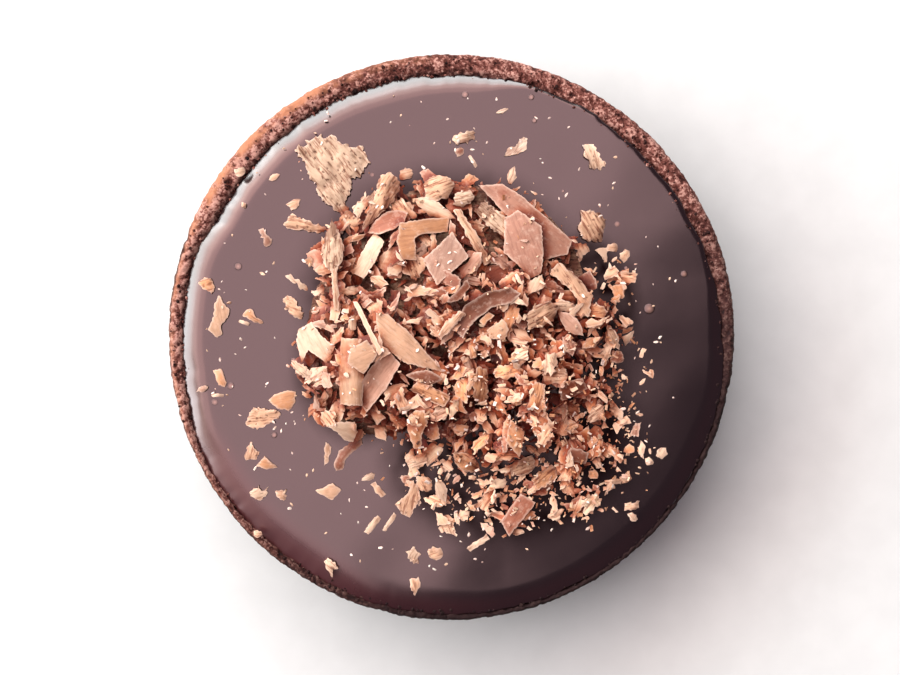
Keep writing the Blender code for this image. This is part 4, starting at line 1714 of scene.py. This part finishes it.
UPPER_SHAVINGS = (
    Shaving((-11.3, 20.7), 11.2, 3.7, 60, FEATHER, TAN, RASPED, 0.7, 0.8, 0.3),
    Shaving((-7.0, 25.7), 2.4, 2.1, 15, CHUNK, TAN, RASPED, 0.9),
    Shaving((-12.9, 12.5), 7.2, 2.6, 61, SLAB, CREAM, SMOOTH, 0.6, 0.4, 0.2, (0.05, -0.2)),
    Shaving((-9.7, 17.9), 7.0, 3.2, 24, LEAF, RED, SMOOTH, 0.6, 0.6, -0.4, (0.0, -0.25), shade=1.4),
    Shaving(
        (-5.3, 15.9), 8.1, 6.7, 10, tone=ORANGE, face=SMOOTH, thickness=0.6, bow=0.4, curl=0.3,
        corners=(
            (-7.9, 17.6), (-4.0, 18.3), (-0.3, 18.6), (-0.5, 16.3), (-4.5, 15.9), (-5.6, 15.3),
            (-5.4, 11.8), (-7.7, 11.9), (-8.4, 14.8),
        ),
        shade=0.92,
    ),
    Shaving((3.3, 15.5), 9.5, 1.7, -60, STICK, TAN, RASPED, 0.8, 0.3, 0.2),
    Shaving((7.0, 18.2), 7.0, 2.9, -41, SLAB, CREAM, RASPED, 0.6, 0.4, 0.2),
    Shaving(
        (11.5, 18.5), 14.0, 6.0, -38, tone=BROWN, face=SMOOTH, thickness=0.8, bow=0.7, curl=0.3,
        corners=(
            (4.3, 23.8), (8.1, 24.0), (10.8, 22.3), (15.8, 18.0), (19.0, 15.0), (18.2, 12.9), (14.5, 12.0),
            (10.5, 17.0),
        ),
    ),
    Shaving(
        (11.4, 14.6), 10.0, 6.5, -70, tone=BROWN, face=SMOOTH, thickness=0.9, bow=0.5, curl=0.3,
        corners=(
            (10.4, 19.8), (14.1, 17.2), (14.4, 13.8), (14.1, 9.8), (12.4, 9.1), (10.2, 11.4), (8.3, 13.1),
            (8.3, 18.4),
        ),
        lean=(0.05, 0.1),
    ),
    Shaving(
        (-0.9, 12.0), 7.5, 5.4, 70, tone=PINK, face=SMOOTH, thickness=0.9, bow=0.2, curl=0.1,
        corners=((0.2, 16.2), (2.8, 12.3), (-2.2, 7.9), (-4.4, 11.9)), lean=(0.08, -0.15), shade=0.76,
    ),
    Shaving(
        (19.0, 7.2), 8.5, 2.4, -55, thickness=0.8, bow=0.4, curl=0.4,
        corners=(
            (15.4, 9.8), (16.9, 11.6), (20.2, 9.0), (22.0, 6.3), (21.4, 2.9), (19.2, 3.2), (19.6, 5.9),
            (18.0, 7.9),
        ),
    ),
    Shaving(
        (5.6, 3.9), 11.5, 3.0, 33, tone=RED, face=SMOOTH, thickness=0.7, bow=0.5, curl=-0.5,
        corners=(
            (0.2, 1.5), (2.2, 4.8), (5.5, 6.9), (9.2, 7.6), (10.9, 6.6), (9.3, 5.2), (6.3, 4.4),
            (3.4, 2.2), (1.8, -0.3),
        ),
        lean=(0.0, 0.2), shade=0.75,
    ),
    Shaving((-0.1, 1.7), 5.4, 1.4, 49, STICK, TAN, RASPED, 0.6, 0.2, 0.1),
    Shaving(
        (-21.3, -1.0), 6.0, 5.5, -60, tone=CREAM, face=SMOOTH, thickness=0.5, bow=0.5, curl=0.3,
        corners=(
            (-21.8, 2.3), (-19.9, -0.2), (-18.0, -1.5), (-19.3, -4.1), (-22.2, -2.1), (-23.2, -4.1),
            (-24.1, -0.7), (-23.7, 1.2),
        ),
        shade=0.86,
    ),
    Shaving((-11.4, -6.8), 9.4, 3.6, 55, SLAB, PINK, SMOOTH, 0.7, 0.5, -0.7, shade=1.25),
    Shaving((-15.3, -5.4), 10.4, 4.0, -90, SLAB, TAN, SMOOTH, 0.7, 0.4, 1.3),
    Shaving(
        (-13.7, -3.1), 4.6, 4.2, 20, face=SMOOTH, thickness=0.6, bow=0.2, curl=0.2,
        corners=((-12.9, -0.5), (-11.3, -2.8), (-13.4, -5.8), (-15.9, -4.1), (-15.4, -1.9)),
    ),
    Shaving(
        (-7.2, -0.9), 12.5, 4.4, -40, face=SMOOTH, thickness=0.7, bow=0.6, curl=0.4,
        corners=((-11.5, 3.6), (-9.8, 3.4), (-7.0, 1.2), (-1.0, -5.6), (-7.3, -4.0), (-11.1, -0.9)),
    ),
    Shaving((-12.9, 1.6), 9.3, 0.9, -63, STICK, TAN, SMOOTH, 0.5, 0.3, 0.0),
    Shaving(
        (-5.3, -14.4), 6.2, 2.6, 80, tone=ORANGE, face=SMOOTH, thickness=0.7, bow=0.3, curl=0.4,
        corners=(
            (-6.8, -12.8), (-5.5, -11.4), (-4.1, -11.4), (-3.6, -13.3), (-4.4, -14.9), (-4.7, -17.3),
            (-5.7, -17.5), (-6.3, -15.9), (-6.8, -14.4),
        ),
        lean=(0.0, -0.2),
    ),
    Shaving(
        (10.3, -27.9), 6.8, 2.7, 56, tone=RED, face=SMOOTH, thickness=0.8, bow=0.2, curl=0.1,
        corners=((11.0, -24.7), (13.4, -26.2), (9.2, -31.5), (7.8, -29.2)), shade=1.55,
    ),
    Shaving((4.3, -32.7), 3.8, 1.1, 38, STICK, CREAM, RASPED, 0.6),
)
# What lies by itself on the ganache or the rim.
STRAY_SHAVINGS = (
    Shaving((25.6, 14.1), 1.7, 1.5, 10, CHUNK, TAN),
    Shaving((27.5, 12.7), 2.1, 1.6, 60, CHUNK, TAN),
    Shaving(
        (-38.7, 8.1), 2.8, 2.4, 20, tone=ORANGE, thickness=0.8,
        corners=(
            (-40.0, 8.5), (-39.0, 9.4), (-38.0, 9.2), (-37.5, 8.4), (-37.4, 7.2), (-37.9, 6.7), (-39.0, 7.4),
        ),
    ),
    Shaving(
        (-31.5, 3.0), 3.4, 1.6, -30, tone=ORANGE, thickness=0.7,
        corners=((-32.6, 4.0), (-31.8, 4.3), (-29.7, 2.2), (-30.2, 1.9), (-32.4, 2.9), (-33.0, 3.2)),
    ),
    Shaving((-32.7, 2.2), 1.8, 0.6, -20, STICK, CREAM),
    Shaving(
        (-36.4, -6.5), 2.9, 1.9, -65, tone=ORANGE, face=SMOOTH, thickness=0.6,
        corners=((-37.6, -5.4), (-36.3, -5.1), (-35.5, -7.3), (-35.8, -8.0), (-36.8, -7.7)),
    ),
    Shaving((-39.3, -8.3), 1.7, 1.1, 20, LEAF, PINK),
    Shaving((-36.9, -9.3), 1.9, 0.6, 0, STICK, CREAM),
    Shaving(
        (-31.6, -18.1), 2.6, 1.9, 75, thickness=0.6,
        corners=(
            (-32.6, -18.2), (-31.7, -16.5), (-31.2, -17.3), (-30.4, -18.3), (-30.7, -19.4), (-32.4, -19.6),
        ),
    ),
    Shaving(
        (-29.3, -20.1), 3.3, 1.9, -15, tone=ORANGE, face=SMOOTH, thickness=0.7,
        corners=((-30.8, -20.5), (-29.5, -18.9), (-27.5, -20.7), (-29.1, -21.0)),
    ),
    Shaving(
        (-30.3, -24.6), 3.0, 2.0, 20, tone=CREAM, thickness=0.6,
        corners=(
            (-31.9, -24.7), (-30.4, -23.6), (-29.9, -24.4), (-28.9, -23.8), (-29.1, -25.0), (-30.1, -25.9),
            (-31.2, -25.6),
        ),
    ),
    Shaving(
        (-26.9, -25.1), 2.0, 1.6, 0,
        corners=((-27.8, -24.5), (-26.7, -24.2), (-25.9, -25.2), (-26.4, -26.0), (-27.5, -25.4)),
    ),
    Shaving(
        (-19.1, -36.5), 3.0, 2.0, -40, tone=CREAM,
        corners=(
            (-20.2, -35.6), (-19.5, -35.1), (-17.7, -36.4), (-17.9, -36.9), (-18.7, -36.8), (-18.8, -38.0),
            (-19.4, -37.2),
        ),
    ),
    Shaving(
        (-5.9, -34.7), 2.7, 1.9, 60, tone=CREAM, thickness=0.6,
        corners=((-7.0, -34.1), (-5.7, -33.2), (-4.9, -34.5), (-5.2, -35.9), (-6.5, -35.6)),
    ),
    Shaving((-2.5, -34.3), 2.6, 2.0, 20, CHUNK, TAN),
    Shaving(
        (-5.8, -39.4), 3.0, 1.5, -75,
        corners=((-6.5, -38.5), (-5.2, -38.1), (-4.9, -39.3), (-5.7, -41.0), (-6.6, -39.6)),
    ),
    Shaving(
        (-6.7, -25.6), 6.2, 2.2, 75, thickness=0.6,
        corners=(
            (-8.8, -26.6), (-6.9, -24.7), (-6.4, -23.9), (-7.3, -22.6), (-6.0, -22.9), (-5.0, -23.9),
            (-4.9, -25.5), (-6.5, -28.7), (-7.6, -28.2),
        ),
    ),
    Shaving((-12.4, -29.8), 3.3, 1.0, 55, STICK, CREAM),
    Shaving((-9.7, -29.4), 3.2, 0.8, 58, STICK, CREAM),
    Shaving((-13.0, -22.2), 2.3, 1.1, 25, LEAF, CREAM),
    Shaving((-11.5, -24.2), 2.6, 1.1, -50, SLAB, TAN),
    Shaving(
        (-24.4, 8.8), 4.3, 0.9, -35, tone=CREAM,
        corners=(
            (-26.2, 9.6), (-25.4, 9.8), (-24.8, 9.1), (-24.2, 9.1), (-22.9, 7.9), (-22.7, 7.3), (-23.8, 7.5),
            (-24.4, 8.4), (-25.0, 8.4), (-25.6, 9.0),
        ),
    ),
    Shaving(
        (-20.8, 7.2), 2.3, 1.2, 30, tone=CREAM,
        corners=((-22.1, 6.9), (-20.9, 7.5), (-20.1, 8.3), (-19.9, 6.8), (-21.3, 6.4)),
    ),
    Shaving((28.0, -0.1), 2.5, 1.5, 45, SHARD, CREAM, SMOOTH),
    Shaving((1.3, 29.2), 1.7, 1.4, 40, CHUNK, RED, SMOOTH),
    Shaving((3.4, 27.8), 2.1, 0.6, -55, STICK, CREAM),
    Shaving((8.1, 35.7), 1.9, 0.9, 20, KITE, CREAM),
    Shaving(
        (-24.9, 20.8), 2.3, 1.7, 20, thickness=0.6,
        corners=((-26.1, 20.9), (-25.0, 21.8), (-23.8, 21.7), (-24.0, 20.7), (-25.2, 19.9)),
    ),
    Shaving(
        (-29.3, 15.7), 3.2, 1.3, -60, tone=BROWN, thickness=0.7,
        corners=(
            (-30.3, 16.8), (-29.6, 17.2), (-29.1, 16.0), (-28.2, 15.4), (-28.6, 14.3), (-29.3, 14.2),
            (-30.0, 15.7),
        ),
    ),
    Shaving((-28.0, 25.2), 2.0, 1.2, 25, LEAF, TAN, SMOOTH),
    Shaving((-33.4, 26.1), 1.8, 1.3, 15, CHUNK, CREAM),
    Shaving((-32.8, 20.8), 1.6, 0.8, -60, LEAF, TAN),
    Shaving((-30.6, -31.2), 1.6, 1.3, 0, CHUNK, TAN),
    Shaving((33.3, -18.5), 2.0, 1.5, 60, CHUNK, CREAM),
    Shaving((31.3, -19.8), 1.4, 1.1, 0, CHUNK, CREAM),
    Shaving((28.7, -26.8), 2.3, 1.2, 10, SLAB, TAN),
    Shaving((28.8, -28.6), 1.8, 1.2, -50, CHUNK, CREAM),
    Shaving((27.6, -22.4), 1.6, 1.1, 30, SLAB, CREAM),
    Shaving((25.6, -23.0), 2.6, 0.9, 5, STICK, CREAM),
)
# The larger ones, each a piece of its own.
LARGE_SHAVINGS = (
    Shaving(
        (-18.5, 25.7), 13.5, 9.5, -52, tone=CREAM, thickness=1.1, bow=0.7, curl=0.4, node="shaving_fan",
        corners=(
            (-24.5, 29.5), (-24.0, 30.3), (-23.1, 30.0), (-22.9, 30.9), (-21.3, 31.4), (-20.5, 31.9),
            (-20.1, 31.5), (-18.8, 31.9), (-17.5, 30.7), (-15.5, 29.7), (-14.3, 30.1), (-13.5, 28.7),
            (-12.7, 27.3), (-13.5, 26.8), (-14.5, 25.2), (-15.6, 24.8), (-15.6, 22.9), (-16.8, 21.5),
            (-16.0, 19.4), (-16.8, 18.3), (-18.3, 19.9), (-20.5, 21.9), (-21.5, 22.7), (-21.1, 23.6),
            (-22.6, 25.7), (-23.1, 27.2),
        ),
        shade=0.88,
    ),
    Shaving(
        (22.2, 17.5), 6.2, 4.6, -60, LEAF, TAN, RASPED, 2.0, 0.7, 0.6, shade=0.9,
        node="shaving_lump_east",
    ),
    Shaving(
        (-36.7, 3.1), 6.6, 3.0, 105, face=SMOOTH, thickness=0.7, bow=0.5, curl=0.3,
        shade=0.85, node="shaving_blade_west",
        corners=(
            (-36.7, 6.5), (-36.1, 5.4), (-35.0, 4.2), (-35.3, 3.0), (-36.4, 1.7), (-36.2, 0.4),
            (-36.9, -0.2), (-38.4, 1.1), (-37.5, 3.2), (-37.3, 5.0),
        ),
    ),
    Shaving(
        (22.7, 28.4), 4.2, 2.4, -70, tone=CREAM, thickness=0.8, bow=0.4, curl=-0.4,
        node="shaving_curl_north_east",
        corners=(
            (21.0, 30.2), (22.1, 30.6), (23.1, 29.5), (23.6, 28.2), (24.5, 27.3), (23.6, 26.4), (22.0, 26.7),
            (21.4, 28.1),
        ),
    ),
    Shaving(
        (10.3, 29.8), 4.6, 1.8, 40, tone=CREAM, thickness=0.7, bow=0.4,
        node="shaving_splinter_north",
        corners=(
            (8.3, 28.4), (8.9, 29.6), (10.2, 30.2), (10.9, 31.1), (12.2, 31.4), (12.0, 30.2), (11.3, 29.1),
            (9.9, 28.7),
        ),
    ),
    Shaving((2.1, 31.5), 3.6, 1.8, 14, SLAB, CREAM, RASPED, 0.8, 0.3, node="shaving_stick_north"),
    Shaving(
        (-23.2, 17.6), 7.0, 2.5, -12, thickness=0.9, bow=0.5, curl=0.4,
        node="shaving_boat_west",
        corners=(
            (-26.5, 17.6), (-25.8, 18.9), (-25.0, 19.3), (-24.0, 18.8), (-21.7, 17.8), (-19.7, 17.2),
            (-20.1, 16.4), (-22.1, 16.6), (-23.8, 17.0), (-24.8, 16.8), (-26.0, 17.2),
        ),
    ),
    Shaving(
        (-24.8, 4.7), 4.2, 2.6, -30, thickness=1.0, bow=0.3, node="shaving_chip_west",
        corners=(
            (-26.7, 5.9), (-25.6, 6.5), (-24.5, 5.7), (-23.7, 4.5), (-23.1, 3.8), (-23.6, 2.8), (-24.8, 3.1),
            (-26.0, 4.3),
        ),
    ),
    Shaving(
        (-26.7, -10.2), 4.5, 3.4, 12, tone=ORANGE, face=SMOOTH, thickness=0.8, bow=0.3, curl=0.2,
        node="shaving_plate_south_west",
        corners=(
            (-28.8, -10.1), (-27.9, -9.1), (-25.9, -8.5), (-24.6, -8.8), (-24.6, -10.4), (-25.6, -11.8),
            (-27.3, -11.4), (-28.2, -10.8),
        ),
        shade=0.88,
    ),
    Shaving(
        (-29.9, -12.8), 5.4, 3.0, 8, thickness=0.8, bow=0.3, node="shaving_scrap_south_west",
        corners=(
            (-32.4, -13.7), (-32.0, -12.2), (-30.9, -11.2), (-29.3, -11.6), (-27.8, -11.5), (-26.9, -12.3),
            (-28.2, -13.3), (-30.4, -14.6), (-32.0, -14.4),
        ),
    ),
    Shaving(
        (-19.4, -24.5), 4.2, 2.6, 180, face=SMOOTH, thickness=0.7, bow=0.2,
        node="shaving_arrow_south",
        corners=((-21.5, -24.4), (-18.7, -23.2), (-17.3, -24.3), (-18.8, -25.9)),
    ),
)

PALE = (0.24, 0.36, 0.18, 0.10, 0.07, 0.05, 0.0)
WARM = (0.25, 0.36, 0.29, 0.03, 0.04, 0.03, 0.0)
BITS = (0.34, 0.22, 0.10, 0.12, 0.0, 0.02, 0.20)
WHITE = (0.3, 0.0, 0.0, 0.0, 0.0, 0.0, 0.7)
# What falls first, and makes the heap's body. The warm drifts on the right and lower right take a larger
# shade: painted light where the heap keeps the windows' light from them.
FILLING = (
    Drift((-1.0, 6.5), (20.5, 18.5), 0, 640, 240, 6.0, PALE, 0.1),
    Drift((-13.5, -5.0), (10.5, 11.0), 0, 240, 90, 5.2, PALE, 0.1, shade=1.22),
    Drift((19.5, 5.0), (9.5, 10.5), 0, 80, 60, 4.2, WARM, 0.3, 0.1, (1.2, 2.8), 1.25),
    Drift((13.0, -3.0), (14.5, 12.5), -30, 280, 180, 4.2, WARM, 0.2, 0.1, (1.2, 2.8), 1.38),
    Drift((1.0, -11.0), (12.0, 6.5), 0, 110, 80, 4.6, WARM, 0.1, 0.1, (1.2, 2.8), 1.3),
    Drift((9.5, -17.0), (18.5, 14.5), 10, 310, 120, 3.9, WARM, 0.25, 0.03, (1.15, 2.5), 1.5),
)
# What falls last, and lies on top and all round: flakes, then bits too small to have a face.
DUSTING = (
    Drift((2.0, 0.0), (27.0, 27.0), 0, 30, 160, 2.2, PALE, 0.4),
    # Painted light: these flakes on the lower right are painted brighter where the heap keeps the windows'
    # light from them.
    Drift((24.0, -13.0), (9.0, 18.0), 0, 50, 120, 2.4, WARM, 0.4, 0.05, (1.2, 2.8), 1.3),
    Drift((10.5, -14.0), (19.0, 17.0), 0, 0, 620, 1.0, BITS, 0.2, 0.05),
)
SPECKS = Drift((-2.0, 1.0), (39.0, 40.0), 0, 0, 330, 1.0, WHITE, 0.3)


# ---------------------------------------------------------------- studio


@dataclass(frozen=True)
class Softbox:
    """A flat diffused lamp, in metres.

    Attributes:
        name: its name.
        place: its middle.
        aim: what it faces.
        size: its width and height.
        radiance: how bright its face is.
        colour: the light's colour.
        turn: how far it is turned in its own plane, in degrees.
    """

    name: str
    place: tuple[float, float, float]
    aim: tuple[float, float, float]
    size: Point
    radiance: float
    colour: str = "#ffffff"
    turn: float = 0.0

    def build(self) -> bpy.types.Object:
        """The lamp."""
        lamp = bpy.data.lights.new(self.name, "AREA")
        lamp.shape = "RECTANGLE"
        lamp.size, lamp.size_y = self.size
        lamp.energy = self.radiance * math.pi * self.size[0] * self.size[1]
        lamp.color = linear(self.colour)
        made = bpy.data.objects.new(self.name, lamp)
        made.location = self.place
        facing = Vector(self.aim) - Vector(self.place)
        made.rotation_euler = facing.to_track_quat("-Z", "Y").to_euler()
        made.rotation_euler.rotate_axis("Z", math.radians(self.turn))
        bpy.context.scene.collection.objects.link(made)
        return made


@dataclass
class Studio:
    """A sheet of white paper, a broad lamp overhead and two tall windows to the upper left, with the
    camera looking straight down. In metres where no other unit is given.

    Attributes:
        rim_height: how high the rim is.
        camera_distance: how far above the rim the camera is.
        lens_mm: its focal length.
        off_centre: how far it stands off the tart's middle, in millimetres.
        floor_size: the sheet's width.
        overhead: the overhead lamp, which ends above the tart's lower right and fades over two narrow
            bands: each band's name, its start and end across the lamp, and its radiance.
        overhead_colour: the lamp's colour.
        overhead_height: how high it hangs.
        overhead_width: its width along its bands.
        edge_turn: how far it is turned.
        sideways: how far it is shifted along its bands.
        windows: each window's name, its degrees round from +X, and its share of the light.
        window_bands: a window's bands, brightest low down: the lowest and highest degrees above the
            floor, the radiance and the colour.
        window_distance: how far off the windows are.
        window_width: how wide they are.
        window_aim: what they face.
        room_colour: the colour of the dim room.
        room_strength: how bright it is.
    """

    rim_height: float = 0.0185
    camera_distance: float = 0.3385
    lens_mm: float = 85.0
    off_centre: Point = (-0.16, -0.16)
    floor_size: float = 3.0
    overhead: tuple[tuple[str, float, float, float], ...] = (
        ("overhead", -1.14, 0.036, 1.9),
        ("overhead_fade", 0.036, 0.085, 1.4),
        ("overhead_end", 0.085, 0.12, 0.34),
    )
    overhead_colour: str = "#ffe0dd"
    overhead_height: float = 1.02
    overhead_width: float = 1.6
    edge_turn: float = -32.0
    sideways: float = 0.22
    windows: tuple[tuple[str, float, float], ...] = (
        ("window_north", 108.0, 0.88),
        ("window_west", 172.0, 1.0),
    )
    window_bands: tuple[tuple[float, float, float, str], ...] = (
        (16.0, 30.0, 6.3, "#ffffff"),
        (30.0, 42.0, 5.2, "#fffaf6"),
        (42.0, 54.0, 2.0, "#ffdccb"),
        (54.0, 66.0, 0.8, "#ffd2bf"),
    )
    window_distance: float = 1.1
    window_width: float = 1.3
    window_aim: tuple[float, float, float] = (0.0, 0.0, 0.02)
    room_colour: str = "#efdcf0"
    room_strength: float = 0.11

    def build_floor(self) -> bpy.types.Object:
        """The sheet that the tart stands on."""
        bpy.ops.mesh.primitive_plane_add(size=self.floor_size)
        floor = bpy.context.object
        floor.name = floor.data.name = "paper_floor"
        floor.location.z = CAD_BOX[0][2]
        floor.data.materials.append(MattPaper().build())
        return floor

    def build_camera(self) -> bpy.types.Object:
        """The camera, straight above."""
        lens = bpy.data.cameras.new("camera")
        lens.lens = self.lens_mm
        lens.sensor_width = 36.0
        lens.clip_start = 0.01
        camera = bpy.data.objects.new("camera", lens)
        offset_x, offset_y = (value * MM for value in self.off_centre)
        camera.location = (offset_x, offset_y, self.rim_height + self.camera_distance)
        bpy.context.scene.collection.objects.link(camera)
        bpy.context.scene.camera = camera
        return camera

    def build_light(self) -> None:
        """The lamps and the dim room."""
        across, down = math.cos(math.radians(self.edge_turn)), math.sin(math.radians(self.edge_turn))
        for name, start, end, radiance in self.overhead:
            middle = (start + end) / 2
            x, y = middle * across - self.sideways * down, middle * down + self.sideways * across
            size = (end - start, self.overhead_width)
            place, aim = (x, y, self.overhead_height), (x, y, 0.0)
            Softbox(name, place, aim, size, radiance, self.overhead_colour, self.edge_turn).build()
        for window, band in itertools.product(self.windows, self.window_bands):
            (name, azimuth, share), (low, high, radiance, colour) = window, band
            turn, rise = math.radians(azimuth), math.radians((low + high) / 2)
            place = (
                self.window_distance * math.cos(rise) * math.cos(turn),
                self.window_distance * math.cos(rise) * math.sin(turn),
                self.window_distance * math.sin(rise) + self.window_aim[2],
            )
            tall = 2 * self.window_distance * math.tan(math.radians(high - low) / 2)
            size = (self.window_width, tall)
            Softbox(f"{name}_{low:.0f}", place, self.window_aim, size, radiance * share, colour).build()
        world = bpy.data.worlds.new("room")
        world.use_nodes = True
        room = world.node_tree.nodes["Background"]
        room.inputs["Color"].default_value = opaque(self.room_colour)
        room.inputs["Strength"].default_value = self.room_strength
        bpy.context.scene.world = world

    def build(self) -> None:
        """Everything round the tart."""
        self.build_floor()
        self.build_camera()
        self.build_light()
        bpy.context.scene.view_settings.view_transform = "Standard"
        bpy.context.scene.view_settings.look = "None"


def main() -> None:
    """Builds the tart's looks and the studio."""
    rng = np.random.default_rng(7)
    case = PastryCase(BakedCocoaPastry().build())
    case.build()
    fill = GanacheFill(PouredGanache().build(), case)
    fill.build()
    fill.build_bubbles(rng)
    RimCrumbs(case.finish, case, fill.top).build(rng)
    chocolate = GratedMilkChocolate().build()
    heap = ChocolateHeap(chocolate, Landing(fill.top), fill.level, rng)
    heap.build_core()

    names = ("fallen_crumbs", "heap_flakes", "fallen_flakes", "peeled_shavings", "white_specks")
    piles = {name: Gathering() for name in names}
    for drift in FILLING:
        heap.fall_crumbs(drift, piles["fallen_crumbs"], 0.5, 1.6)
    for drift in FILLING:
        heap.fall_flakes(drift, piles["heap_flakes" if drift.tones is PALE else "fallen_flakes"])
    shaver = Shaver(spacing=0.32, ragged=0.16)
    for shaving in (*LOWER_SHAVINGS, *UPPER_SHAVINGS, *STRAY_SHAVINGS):
        heap.lay(shaving, shaver, piles["peeled_shavings"])
    alone = {}
    for shaving in LARGE_SHAVINGS:
        alone[shaving.node] = Gathering()
        heap.lay(shaving, Shaver(spacing=0.23, ragged=0.2), alone[shaving.node], 0.95)
    for drift in DUSTING:
        heap.fall_flakes(drift, piles["fallen_flakes"])
        heap.fall_crumbs(drift, piles["fallen_crumbs"], 0.3, 1.1)
    heap.fall_crumbs(SPECKS, piles["white_specks"], 0.4, 1.15, rounded=True)
    for name, pile in piles.items():
        pile.make(name, chocolate, heap.landing)
    for node, pile in alone.items():
        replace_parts(pile.make(node.replace("shaving", "large_shaving"), chocolate, heap.landing), node)
    Studio().build()


if __name__ == "__main__":
    logging.basicConfig(level=logging.INFO, format="%(name)s %(message)s")
    main()
